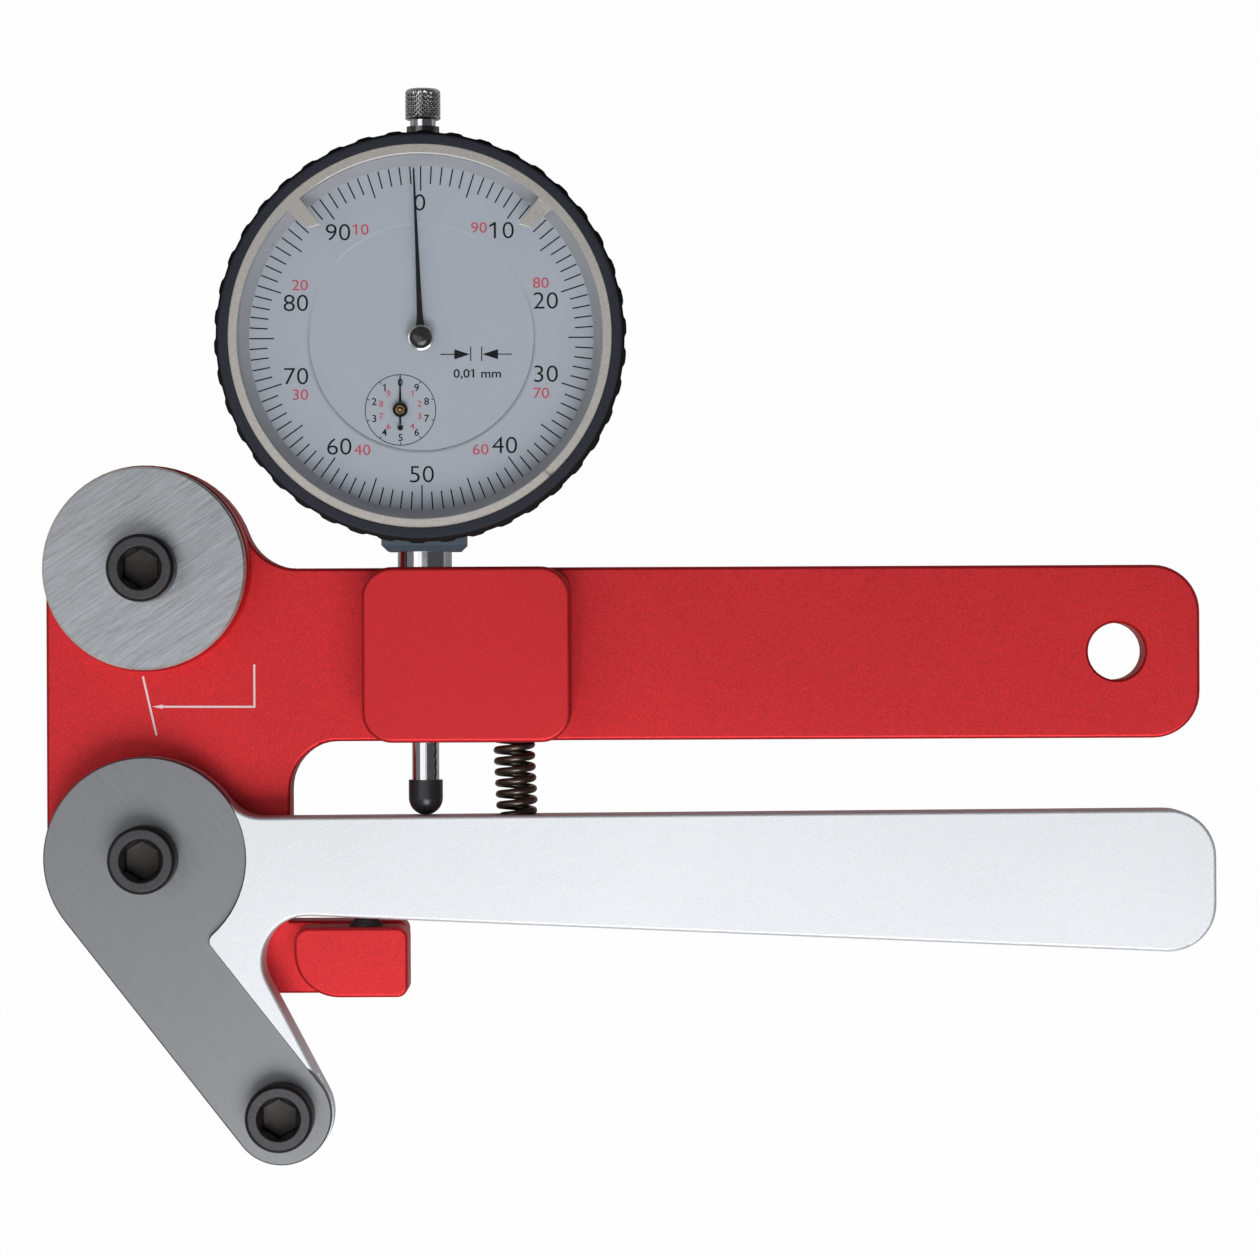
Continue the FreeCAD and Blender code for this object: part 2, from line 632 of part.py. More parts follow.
def wear_bar_line(edge_radius):
    """Start of the bar's middle line beside the pivot, and the directions along and across the bar."""
    lean = math.radians(ARM_ANGLE) + math.asin((DISC_RADIUS - edge_radius) / POST_SPAN)
    along = V(math.sin(lean), -math.cos(lean), 0)
    across = V(math.cos(lean), math.sin(lean), 0)
    start = LOWER_POST - along * POST_SPAN * math.cos(lean - math.radians(ARM_ANGLE))
    return start, along, across


def wear_bar(edge_radius, low, high, extra=0.0):
    """Disc at the pivot and a straight bar to the lower post, tangent to the disc on its left side."""
    start, along, across = wear_bar_line(edge_radius)
    half = edge_radius + extra
    corners = [start - across * half, LOWER_POST - across * half, LOWER_POST + across * half,
               start + across * half]
    bar = prism([(p.x, p.y) for p in corners], low, high)
    disc = post(DISC_RADIUS + extra, low, high)
    tip = post(half, low, high, LOWER_POST.x, LOWER_POST.y)
    corner = WEAR_CORNER - extra
    edge_offset = across.dot(LOWER_POST) + half
    out = edge_offset + corner
    reach = math.sqrt((DISC_RADIUS + extra + corner) ** 2 - out ** 2)
    centre = across * out + along * reach
    fill = hollow_corner(across * (edge_offset - 1) + along * (reach / 2),
                         centre * ((DISC_RADIUS + extra) / (DISC_RADIUS + extra + corner)),
                         across * (edge_offset - 0.01) + along * reach, centre, corner, low, high)
    return joined(disc, bar, tip, fill)


def lever_outline_solid():
    """Lever before its bevels and recess: pivot disc, handle and arm."""
    low, high = LEVER_BACK, LEVER_FRONT
    disc = post(DISC_RADIUS, low, high)
    handle = prism([(0, lever_top_at(0)), (0, lever_bottom_at(0)), (LEVER_END, lever_bottom_at(LEVER_END)),
                    (LEVER_END, lever_top_at(LEVER_END))], low, high)
    for y in (lever_bottom_at(LEVER_END), lever_top_at(LEVER_END)):
        handle = handle.makeFillet(LEVER_CORNER, uprights_at(handle, LEVER_END, y))
    across = V(-ARM_DIRECTION.y, ARM_DIRECTION.x, 0)
    swing = math.asin((DISC_RADIUS - ARM_END_RADIUS) / POST_SPAN)
    left_angle = 180.0 + ARM_ANGLE + math.degrees(swing)
    arm = prism([(p.x, p.y) for p in (ORIGIN, polar(DISC_RADIUS, left_angle),
                                      LOWER_POST + polar(ARM_END_RADIUS, left_angle), LOWER_POST,
                                      LOWER_POST + across * ARM_END_RADIUS, across * ARM_END_RADIUS)], low, high)
    tip = post(ARM_END_RADIUS, low, high, LOWER_POST.x, LOWER_POST.y)
    # neck between the disc and the handle's top edge
    tilt = math.radians(LEVER_TOP_TILT)
    up = V(-math.sin(tilt), math.cos(tilt), 0)
    on = V(math.cos(tilt), math.sin(tilt), 0)
    rise = LEVER_TOP * math.cos(tilt) + LEVER_NECK_RADIUS
    reach = math.sqrt((DISC_RADIUS + LEVER_NECK_RADIUS) ** 2 - rise ** 2)
    centre = up * rise + on * reach
    neck = hollow_corner(up + on, centre * (DISC_RADIUS / (DISC_RADIUS + LEVER_NECK_RADIUS)),
                         centre - up * (LEVER_NECK_RADIUS + 0.01), centre, LEVER_NECK_RADIUS, low, high)
    # crotch between the arm's right side and the handle's bottom edge
    tilt = math.radians(LEVER_BOTTOM_TILT)
    down = V(-math.sin(tilt), -math.cos(tilt), 0)
    fall = LEVER_BOTTOM * math.cos(tilt) + LEVER_CROTCH_RADIUS
    side = ARM_END_RADIUS + LEVER_CROTCH_RADIUS
    spread = down.x * across.y - down.y * across.x
    centre = V((fall * across.y - side * down.y) / spread, (side * down.x - fall * across.x) / spread, 0)
    crotch = hollow_corner(V(8, -4, 0), centre - across * (LEVER_CROTCH_RADIUS + 0.01),
                           centre - down * (LEVER_CROTCH_RADIUS + 0.01), centre, LEVER_CROTCH_RADIUS, low, high)
    return joined(disc, handle, arm, tip, neck, crotch)


def lever():
    """Squeeze lever with a recess for the wear plate, a bush bore and a spring seat."""
    body = bevelled(rounded(lever_outline_solid(), BEVEL, LEVER_FRONT), BEVEL, LEVER_BACK)
    recess = wear_bar(WEAR_BAR_RADIUS, RECESS_FLOOR, LEVER_FRONT + 1, RUN)
    start, _, across = wear_bar_line(WEAR_BAR_RADIUS)
    outside = across * (WEAR_BAR_RADIUS + OPEN_SIDE_REACH)
    open_side = prism([(p.x, p.y) for p in (start, LOWER_POST, LOWER_POST - outside, start - outside)],
                      RECESS_FLOOR, LEVER_FRONT + 1)
    land_end = post(LAND_CUT_RADIUS, RECESS_FLOOR, LEVER_FRONT + 1, LOWER_POST.x, LOWER_POST.y)
    bush_bore = post(SLEEVE_RADIUS + RUN + BUSH_WALL, LEVER_BACK - 1, RECESS_FLOOR + 1)
    screw_bore = post(POST_SHANK_RADIUS, LEVER_BACK + LEVER_FLOOR, RECESS_FLOOR + 1, LOWER_POST.x, LOWER_POST.y)
    seat = lever_top_at(SPRING_X)
    pocket = bar_y(SPRING_RADIUS + 2 * PLAY, seat - SPRING_SEAT_DOWN, seat + 2, SPRING_X, STEM_Z)
    for tool in (recess, open_side, land_end, bush_bore, screw_bore, pocket):
        body = body.cut(tool)
    return max(body.Solids, key=lambda part: part.Volume)


def wear_plate():
    """Ground steel plate that the spoke lies on, let into the lever's front."""
    plate = bevelled(wear_bar(WEAR_BAR_RADIUS, RECESS_FLOOR, POST_FACE), WEAR_BEVEL, POST_FACE)
    plate = plate.cut(post(SLEEVE_RADIUS + RUN, RECESS_FLOOR - 1, POST_FACE + 1))
    return plate.cut(post(POST_SHANK_RADIUS, RECESS_FLOOR - 1, POST_FACE + 1, LOWER_POST.x, LOWER_POST.y))


def pivot_bush():
    """Bronze bush pressed into the lever, running on the pivot sleeve."""
    return tube_z(SLEEVE_RADIUS + RUN + BUSH_WALL, SLEEVE_RADIUS + RUN, LEVER_BACK, RECESS_FLOOR)


def return_spring():
    """Compression spring that pushes the lever back onto its stop screw."""
    low = lever_top_at(SPRING_X) - SPRING_SEAT_DOWN + TOUCH
    high = HANDLE_BOTTOM + SPRING_SEAT_UP - TOUCH
    return coil(SPRING_RADIUS - SPRING_WIRE / 2, SPRING_WIRE, SPRING_PITCH, low, high, SPRING_X, STEM_Z)


# ------------------------------------------------------------------ gauge shell
def placed(shape):
    """Gauge piece moved from the dial's centre to its place on the tool."""
    shape.translate(V(SPINDLE_X, GAUGE_Y, 0))
    return shape


def gauge_case():
    """Cup of the gauge with its stem neck, top boss and the posts that carry the movement."""
    neck_low = NECK_BOTTOM - GAUGE_Y
    wall = tube_z(CASE_RADIUS, CASE_INNER, CASE_BACK, CASE_FRONT)
    neck = box(-NECK_WIDTH / 2, NECK_WIDTH / 2, neck_low, -CASE_INNER - 0.5,
               STEM_Z - NECK_DEPTH / 2, STEM_Z + NECK_DEPTH / 2)
    neck = neck.makeChamfer(NECK_BEVEL, edges_at_y(neck, neck_low))
    boss = bar_y(TOP_BUSH_RADIUS + TOP_BOSS_WALL, CASE_INNER + 0.5, CASE_RADIUS + TOP_BOSS_REACH, 0, STEM_Z)
    post_places = [polar(POST_CIRCLE, angle) for angle in PLATE_SCREW_ANGLES]
    cover_places = [polar(SCREW_CIRCLE, angle) for angle in COVER_SCREW_ANGLES]
    posts = [post(MOVEMENT_POST_RADIUS, CASE_BACK, MAIN_PLATE_BACK, p.x, p.y) for p in post_places]
    case = joined(wall, neck, boss, *posts)
    tools = [bar_y(STEM_RADIUS, neck_low - 1, -CASE_INNER + 2, 0, STEM_Z),
             bar_y(TOP_BUSH_RADIUS, CASE_INNER - 2, CASE_RADIUS + 4, 0, STEM_Z),
             tube_z(CASE_RADIUS + 1, CASE_RADIUS - CASE_GROOVE_DEPTH, BEZEL_BACK + CASE_GROOVE_BACK,
                    BEZEL_BACK + CASE_GROOVE_FRONT)]
    tools += [post(PLATE_SCREW_RADIUS, MAIN_PLATE_BACK - PLATE_SCREW_GRIP - SCREW_END_ROOM, MAIN_PLATE_BACK + 1,
                   p.x, p.y) for p in post_places]
    tools += [post(COVER_SCREW_RADIUS, CASE_BACK - 1, CASE_BACK + COVER_SCREW_GRIP + SCREW_END_ROOM, p.x, p.y)
              for p in cover_places]
    for tool in tools:
        case = case.cut(tool)
    return placed(case)


def back_cover():
    """Flat rear cover of the gauge."""
    low = CASE_BACK - COVER_THICK
    cover = bevelled(post(CASE_RADIUS, low, CASE_BACK), COVER_BEVEL, low)
    for angle in COVER_SCREW_ANGLES:
        p = polar(SCREW_CIRCLE, angle)
        cover = cover.cut(post(COVER_SCREW_RADIUS, low - 1, CASE_BACK + 1, p.x, p.y))
    return placed(cover)


def cover_screws():
    """Three small screws that hold the rear cover."""
    screws = []
    for angle in COVER_SCREW_ANGLES:
        p = polar(SCREW_CIRCLE, angle)
        screw = small_screw(0, 0, 0, COVER_HEAD_RADIUS, COVER_HEAD_HEIGHT, COVER_SCREW_RADIUS,
                            COVER_THICK + COVER_SCREW_GRIP)
        screw.rotate(ORIGIN, X_AXIS, 180)
        screw.translate(V(p.x, p.y, CASE_BACK - COVER_THICK))
        screws.append(screw)
    return placed(gathered(screws))


def gauge_stem():
    """Chromed stem tube, clamped in the frame's block."""
    return placed(tube_y(STEM_RADIUS, STEM_BORE, STEM_LOW, -CASE_INNER + 1, 0, STEM_Z))


def lower_bush():
    """Bush in the stem's mouth that guides the spindle."""
    return placed(tube_y(STEM_BORE, SPINDLE_RADIUS + RUN, STEM_LOW, STEM_LOW + LOWER_BUSH_LENGTH, 0, STEM_Z))


def upper_bush():
    """Bush at the top of the case that guides the spindle's thinner end."""
    return placed(tube_y(TOP_BUSH_RADIUS, SPINDLE_TOP_RADIUS + RUN, CASE_INNER - TOP_BUSH_INSIDE,
                         BEZEL_RADIUS + TOP_BUSH_SHOW, 0, STEM_Z))


def bezel():
    """Ribbed ring that turns on the case and carries the dial, crystal and tolerance rings."""
    under_lip = BEZEL_FRONT - RING_LIP_HEIGHT
    over_case = CASE_FRONT + PLAY
    body = turned([(BEZEL_SEAT, BEZEL_BACK), (BEZEL_BODY - BEZEL_BACK_BEVEL, BEZEL_BACK),
                   (BEZEL_BODY, BEZEL_BACK + BEZEL_BACK_BEVEL), (BEZEL_BODY, BEZEL_FRONT - BEZEL_FRONT_BEVEL),
                   (BEZEL_BODY - BEZEL_FRONT_BEVEL, BEZEL_FRONT), (RING_RECESS - RING_LIP, BEZEL_FRONT),
                   (RING_RECESS - RING_LIP, under_lip), (RING_RECESS, under_lip), (RING_RECESS, CRYSTAL_FRONT),
                   (CASE_RADIUS, CRYSTAL_FRONT), (CASE_RADIUS, DIAL_BACK), (DIAL_LEDGE, DIAL_BACK),
                   (DIAL_LEDGE, over_case), (BEZEL_SEAT, over_case)])
    pitch = 360.0 / BEZEL_RIBS
    foot = BEZEL_BODY - 1
    edges = []
    for rib in range(BEZEL_RIBS):
        start = rib * pitch
        stop = start + RIB_SHARE * pitch
        crown = Part.Arc(polar(BEZEL_RADIUS, start), polar(BEZEL_RADIUS, (start + stop) / 2),
                         polar(BEZEL_RADIUS, stop)).toShape()
        valley = Part.Arc(polar(foot, stop), polar(foot, (stop + start + pitch) / 2),
                          polar(foot, start + pitch)).toShape()
        fall = Part.makeLine(polar(BEZEL_RADIUS, stop), polar(foot, stop))
        climb = Part.makeLine(polar(foot, start + pitch), polar(BEZEL_RADIUS, start + pitch))
        edges += [crown, fall, valley, climb]
    rib_height = BEZEL_FRONT - BEZEL_BACK - RIB_BACK_MARGIN - RIB_FRONT_MARGIN
    ribs = Part.Face(Part.Wire(edges)).extrude(V(0, 0, rib_height))
    ribs.translate(V(0, 0, BEZEL_BACK + RIB_BACK_MARGIN))
    ribs = ribs.cut(post(foot - BEZEL_BODY_STEP, BEZEL_BACK, BEZEL_FRONT))
    ring = body.fuse(ribs)
    groove = tube_z(BEZEL_SEAT + BEZEL_WIRE_RADIUS, CASE_RADIUS, WIRE_LEVEL - BEZEL_WIRE_RADIUS,
                    WIRE_LEVEL + BEZEL_WIRE_RADIUS)
    return placed(ring.cut(groove))


def bezel_wire():
    """Round wire ring that keeps the bezel on the case."""
    return placed(Part.makeTorus(BEZEL_SEAT, BEZEL_WIRE_RADIUS, V(0, 0, WIRE_LEVEL), Z_AXIS))


def dial_ring():
    """Outer dial with the hundred divisions, turning with the bezel. Its hole has a sloping edge."""
    hole = INNER_DIAL_RADIUS + PLAY
    return placed(turned([(hole, DIAL_BACK), (CASE_RADIUS, DIAL_BACK), (CASE_RADIUS, DIAL_FRONT),
                          (hole + DIAL_EDGE_SLOPE, DIAL_FRONT), (hole, DIAL_FRONT - INNER_DIAL_SINK)]))


def inner_dial():
    """Fixed middle of the dial, a little lower than the outer dial, on two feet that stand on the movement."""
    front = DIAL_FRONT - INNER_DIAL_SINK
    disc = post(INNER_DIAL_RADIUS, DIAL_BACK, front)
    feet = [post(DIAL_FOOT_RADIUS, FRONT_BRIDGE_FRONT, front, p.x, p.y)
            for p in (polar(DIAL_FOOT_REACH, angle) for angle in DIAL_FOOT_ANGLES)]
    dial = joined(disc, *feet)
    dial = dial.cut(post(DIAL_CENTRE_HOLE, DIAL_BACK - 1, front + 1))
    return placed(dial.cut(post(DIAL_COUNTER_HOLE, DIAL_BACK - 1, front + 1, COUNTER_X, COUNTER_Y)))


def dial_retainer():
    """Sloping ring between the dial and the crystal."""
    return placed(turned([(DIAL_OPENING, DIAL_FRONT), (CASE_RADIUS, DIAL_FRONT),
                          (CASE_RADIUS, CRYSTAL_BACK), (RING_INNER, CRYSTAL_BACK)]))


def crystal():
    """Clear window over the hands."""
    return placed(bevelled(post(CASE_RADIUS, CRYSTAL_BACK, CRYSTAL_FRONT), CRYSTAL_BEVEL, CRYSTAL_FRONT))


def tolerance_ring(back, side):
    """Flat ring with one tab that points in over the crystal, to the left for side -1, split opposite its tab."""
    ring = tube_z(RING_OUTER, RING_INNER, back, back + RING_SHEET)
    middle = UPRIGHT - side * TAB_ANGLE
    base = (RING_INNER + RING_OUTER) / 2
    outline = ((base, -TAB_ROOT_HALF), (base, TAB_ROOT_HALF), (RING_INNER - TAB_LONG_REACH, TAB_LONG_OFFSET),
               (RING_INNER - TAB_SHORT_REACH, -TAB_SHORT_OFFSET))
    outward = polar(1, middle)
    to_top = V(-outward.y, outward.x, 0) * side
    points = [outward * radius + to_top * offset for radius, offset in outline]
    tab = prism([(p.x, p.y) for p in points], back, back + RING_SHEET)
    ring = bevelled(joined(ring, tab), RING_BEVEL, back + RING_SHEET)
    split = box(-RING_OUTER - 1, -RING_INNER + 1, -RING_SPLIT_GAP / 2, RING_SPLIT_GAP / 2,
                back - 1, back + RING_SHEET + 1)
    split.rotate(ORIGIN, Z_AXIS, middle)
    return placed(ring.cut(split))


# ------------------------------------------------------------------ spindle group
def spindle():
    """Plunger rod with a rack cut in its left side."""
    shoulder = SPINDLE_TIP + CAP_HEIGHT
    rod = joined(bar_y(CAP_JOINT_RADIUS, shoulder - JOINT_DEPTH, shoulder + 1, 0, STEM_Z),
                 bar_y(SPINDLE_RADIUS, shoulder, SPINDLE_STEP_Y, 0, STEM_Z),
                 bar_y(SPINDLE_TOP_RADIUS, SPINDLE_STEP_Y - 1, KNOB_LOW, 0, STEM_Z),
                 bar_y(KNOB_JOINT_RADIUS, KNOB_LOW - 1, KNOB_LOW + JOINT_DEPTH, 0, STEM_Z))
    below = RACK_TEETH - RACK_TEETH_ABOVE
    low = COUNTER_Y - (below + 0.5) * RACK_PITCH
    crest = -(RACK_LINE + ADDENDUM)
    root = -(RACK_LINE - DEDENDUM)
    back, front = STEM_Z - SPINDLE_RADIUS - 1, STEM_Z + SPINDLE_RADIUS + 1
    rod = rod.cut(box(-SPINDLE_RADIUS - 1, crest, low, low + RACK_TEETH * RACK_PITCH, back, front))
    mouth_half = (0.5 - TOOTH_TIP_SHARE) * RACK_PITCH
    floor_half = (0.5 - TOOTH_ROOT_SHARE) * RACK_PITCH
    flare = 0.25 * (mouth_half - floor_half)
    spaces = []
    for space in range(RACK_TEETH - 1):
        y = COUNTER_Y + (space - below) * RACK_PITCH
        spaces.append(prism([(root, y - floor_half), (crest, y - mouth_half), (crest - 1, y - mouth_half - flare),
                             (crest - 1, y + mouth_half + flare), (crest, y + mouth_half),
                             (root, y + floor_half)], back, front))
    rod = rod.cut(gathered(spaces))
    pin_hole = Part.makeCylinder(GUIDE_PIN_RADIUS, SPINDLE_RADIUS + 1, V(0, GUIDE_PIN_Y, STEM_Z), X_AXIS)
    return placed(rod.cut(pin_hole))


def contact_cap():
    """Domed cap on the spindle's foot that rides on the lever's top edge."""
    top = SPINDLE_TIP + CAP_HEIGHT
    ball = Part.makeSphere(CAP_RADIUS, V(0, SPINDLE_TIP + CAP_RADIUS, STEM_Z))
    body = bar_y(CAP_RADIUS, SPINDLE_TIP + CAP_RADIUS, top, 0, STEM_Z)
    return placed(joined(ball, body).cut(bar_y(CAP_JOINT_RADIUS, top - JOINT_DEPTH, top + 1, 0, STEM_Z)))


def lifting_knob():
    """Knob on the spindle's upper end."""
    top = KNOB_LOW + KNOB_HEIGHT
    knob = bar_y(KNOB_RADIUS, KNOB_LOW, top, 0, STEM_Z)
    knob = knob.makeFillet(KNOB_ROUNDING, edges_at_y(knob, top))
    return placed(knob.cut(bar_y(KNOB_JOINT_RADIUS, KNOB_LOW - 1, KNOB_LOW + JOINT_DEPTH, 0, STEM_Z)))


def guide_pin():
    """Pin in the spindle that slides in the guide rail and carries the spindle spring."""
    length = SPINDLE_SPRING_X + GUIDE_PIN_OVERHANG
    return placed(Part.makeCylinder(GUIDE_PIN_RADIUS, length, V(GUIDE_PIN_SINK, GUIDE_PIN_Y, STEM_Z), X_AXIS))


def guide_rail():
    """Slotted rail under the main plate that stops the spindle from turning."""
    right = RAIL_LEFT + RAIL_WIDTH
    high = RAIL_LOW + RAIL_LENGTH
    half_slot = GUIDE_PIN_RADIUS + PLAY
    rail = box(RAIL_LEFT, right, RAIL_LOW, high, STEM_Z - RAIL_DEPTH, MAIN_PLATE_BACK)
    return placed(rail.cut(box(RAIL_LEFT - 1, right + 1, RAIL_LOW + RAIL_END, high - RAIL_END,
                               STEM_Z - half_slot, STEM_Z + half_slot)))


def spindle_spring():
    """Light pull spring between the guide pin and a post in the case."""
    reach = SPRING_EYE_RADIUS + SPINDLE_SPRING_WIRE / 2 + RUN
    body = coil(SPINDLE_SPRING_RADIUS, SPINDLE_SPRING_WIRE, SPINDLE_SPRING_PITCH, SPRING_POST_Y + reach,
                GUIDE_PIN_Y - reach, SPINDLE_SPRING_X, STEM_Z)
    eyes = [Part.makeTorus(SPRING_EYE_RADIUS, SPINDLE_SPRING_WIRE / 2, V(SPINDLE_SPRING_X, y, STEM_Z), axis)
            for y, axis in ((GUIDE_PIN_Y, X_AXIS), (SPRING_POST_Y, Z_AXIS))]
    return placed(gathered([body] + eyes))


def spring_post():
    """Post under the main plate that anchors the spindle spring."""
    return placed(post(SPRING_POST_RADIUS, STEM_Z - SPRING_POST_DROP, MAIN_PLATE_BACK,
                       SPINDLE_SPRING_X, SPRING_POST_Y))


# ------------------------------------------------------------------ movement
def main_plate():
    """Middle plate of the movement, screwed to three posts in the case."""
    edge = CASE_INNER - PLAY
    plate = post(edge, MAIN_PLATE_BACK, MAIN_PLATE_FRONT)
    holes = [(0, 0, PIVOT_RADIUS + PIVOT_RUN), (TAKEUP_X, TAKEUP_Y, PIVOT_RADIUS + PIVOT_RUN),
             (COUNTER_X, COUNTER_Y, ARBOR_RADIUS + 2 * PLAY)]
    holes += [(p.x, p.y, PLATE_SCREW_RADIUS) for p in (polar(POST_CIRCLE, angle) for angle in PLATE_SCREW_ANGLES)]
    for x, y, radius in holes:
        plate = plate.cut(post(radius, MAIN_PLATE_BACK - 1, MAIN_PLATE_FRONT + 1, x, y))
    for half, low, high in ((STEM_RADIUS + PLAY, -edge - 1, -CASE_INNER + 1 + PLAY),
                            (TOP_BUSH_RADIUS + PLAY, CASE_INNER - TOP_BUSH_INSIDE - PLAY, edge + 1)):
        plate = plate.cut(box(-half, half, low, high, MAIN_PLATE_BACK - 1, MAIN_PLATE_FRONT + 1))
    return placed(plate)


def plate_screws():
    """Screws that hold the movement in the case."""
    length = MOVEMENT_PLATE + PLATE_SCREW_GRIP
    return placed(gathered(small_screw(p.x, p.y, MAIN_PLATE_FRONT, PLATE_HEAD_RADIUS, PLATE_HEAD_HEIGHT,
                                       PLATE_SCREW_RADIUS, length)
                           for p in (polar(POST_CIRCLE, angle) for angle in PLATE_SCREW_ANGLES)))


def front_bridge():
    """Front plate of the movement."""
    plate = post(BRIDGE_RADIUS, FRONT_BRIDGE_BACK, FRONT_BRIDGE_FRONT)
    holes = [(0, 0, ARBOR_RADIUS + PIVOT_RUN), (COUNTER_X, COUNTER_Y, ARBOR_RADIUS + PIVOT_RUN),
             (TAKEUP_X, TAKEUP_Y, PIVOT_RADIUS + PIVOT_RUN)]
    holes += [(p.x, p.y, TENON_RADIUS) for p in (polar(PILLAR_CIRCLE, angle) for angle in PILLAR_ANGLES)]
    for x, y, radius in holes:
        plate = plate.cut(post(radius, FRONT_BRIDGE_BACK - 1, FRONT_BRIDGE_FRONT + 1, x, y))
    return placed(plate)


def front_pillars():
    """Pillars between the main plate and the front plate, with tenons into the front plate."""
    pillars = []
    for angle in PILLAR_ANGLES:
        p = polar(PILLAR_CIRCLE, angle)
        pillars.append(joined(post(PILLAR_RADIUS, MAIN_PLATE_FRONT, FRONT_BRIDGE_BACK, p.x, p.y),
                              post(TENON_RADIUS, FRONT_BRIDGE_BACK - 0.5, FRONT_BRIDGE_FRONT, p.x, p.y)))
    return placed(gathered(pillars))


def rear_bridge():
    """Small rear plate that carries the counter arbor's back pivot."""
    plate = rounded_block(REAR_BRIDGE_X - 2, COUNTER_X + 1.6, COUNTER_Y - REAR_BRIDGE_HALF,
                          COUNTER_Y + REAR_BRIDGE_HALF, REAR_BRIDGE_BACK, REAR_BRIDGE_FRONT,
                          (REAR_BRIDGE_CORNER,) * 4)
    return placed(plate.cut(post(PIVOT_RADIUS + PIVOT_RUN, REAR_BRIDGE_BACK - 1, REAR_BRIDGE_FRONT + 1,
                                 COUNTER_X, COUNTER_Y)))


def rear_pillars():
    """Two pillars between the rear plate and the main plate."""
    return placed(gathered(post(PILLAR_RADIUS, REAR_BRIDGE_FRONT, MAIN_PLATE_BACK, REAR_BRIDGE_X,
                                COUNTER_Y + side * REAR_PILLAR_OFFSET) for side in (-1, 1)))


def toothed(teeth, first_tooth, low, high, x, y):
    """Gear of this movement's tooth size."""
    pitch_radius = teeth * MODULE / 2
    return fan(pitch_radius + ADDENDUM, pitch_radius - DEDENDUM, teeth, first_tooth, low, high, x, y)


def arbor(low, high, shoulders, x, y):
    """Arbor with a thin rear pivot below the first shoulder and a front pivot above the second."""
    body_low, body_high, front_radius = shoulders
    return joined(post(PIVOT_RADIUS, low, body_low + 0.2, x, y), post(ARBOR_RADIUS, body_low, body_high, x, y),
                  post(front_radius, body_high - 0.2, high, x, y))


def counter_arbor():
    """Arbor whose pinion the rack turns, reaching through the dial to the turn-counter hand."""
    shoulders = (REAR_BRIDGE_FRONT + SHOULDER_GAP, COUNTER_HAND_BACK, ARBOR_RADIUS)
    shaft = arbor(REAR_BRIDGE_BACK, COUNTER_HAND_BACK + 0.5, shoulders, COUNTER_X, COUNTER_Y)
    pinion = toothed(RACK_PINION_TEETH, 0.0, STEM_Z - RACK_PINION_HALF, STEM_Z + RACK_PINION_HALF,
                     COUNTER_X, COUNTER_Y)
    return placed(joined(shaft, pinion))


def counter_wheel():
    """Large wheel on the counter arbor that drives the centre pinion."""
    towards_centre = math.degrees(math.atan2(-COUNTER_Y, -COUNTER_X))
    wheel = toothed(WHEEL_TEETH, towards_centre, WHEEL_BACK, WHEEL_FRONT, COUNTER_X, COUNTER_Y)
    return placed(wheel.cut(post(ARBOR_RADIUS, WHEEL_BACK - 1, WHEEL_FRONT + 1, COUNTER_X, COUNTER_Y)))


def centre_arbor():
    """Arbor of the main hand with its small pinion."""
    towards_counter = math.degrees(math.atan2(COUNTER_Y, COUNTER_X))
    pinion = toothed(CENTRE_TEETH, towards_counter + 180.0 / CENTRE_TEETH, WHEEL_BACK - PLAY,
                     WHEEL_FRONT + 4 * PLAY, 0, 0)
    shoulders = (MAIN_PLATE_FRONT + SHOULDER_GAP, MAIN_HAND_BACK, ARBOR_RADIUS)
    shaft = arbor(MAIN_PLATE_BACK, MAIN_HAND_BACK + HUB_GRIP, shoulders, 0, 0)
    return placed(joined(shaft, pinion))


def takeup_arbor():
    """Arbor of the take-up wheel, with a collet for the hairspring."""
    shoulders = (MAIN_PLATE_FRONT + SHOULDER_GAP, FRONT_BRIDGE_BACK - SHOULDER_GAP, PIVOT_RADIUS)
    shaft = arbor(MAIN_PLATE_BACK, FRONT_BRIDGE_FRONT, shoulders, TAKEUP_X, TAKEUP_Y)
    collet = post(COLLET_RADIUS, WHEEL_FRONT, WHEEL_FRONT + COLLET_HEIGHT, TAKEUP_X, TAKEUP_Y)
    return placed(joined(shaft, collet))


def takeup_wheel():
    """Wheel that the hairspring turns against the centre pinion, to take up backlash."""
    towards_counter = math.degrees(math.atan2(COUNTER_Y, COUNTER_X))
    gap_step = 360.0 / CENTRE_TEETH
    lead = (towards_counter - TAKEUP_DIRECTION) % gap_step
    first = TAKEUP_DIRECTION + 180.0 - lead * CENTRE_TEETH / WHEEL_TEETH
    wheel = toothed(WHEEL_TEETH, first, WHEEL_BACK, WHEEL_FRONT, TAKEUP_X, TAKEUP_Y)
    return placed(wheel.cut(post(ARBOR_RADIUS, WHEEL_BACK - 1, WHEEL_FRONT + 1, TAKEUP_X, TAKEUP_Y)))


def half_turn_arcs(radius, turns, step):
    """Spiral of half circles, growing by one step each turn: its arcs and its last point."""
    arcs = []
    centre = 0.0
    side = 1.0
    for half in range(2 * turns):
        start = V(centre + side * radius, 0, 0)
        end = V(centre - side * radius, 0, 0)
        arcs.append(Part.Arc(start, V(centre, side * radius, 0), end).toShape())
        centre += side * step / 4
        radius += step / 4
        side = -side
    return arcs, end


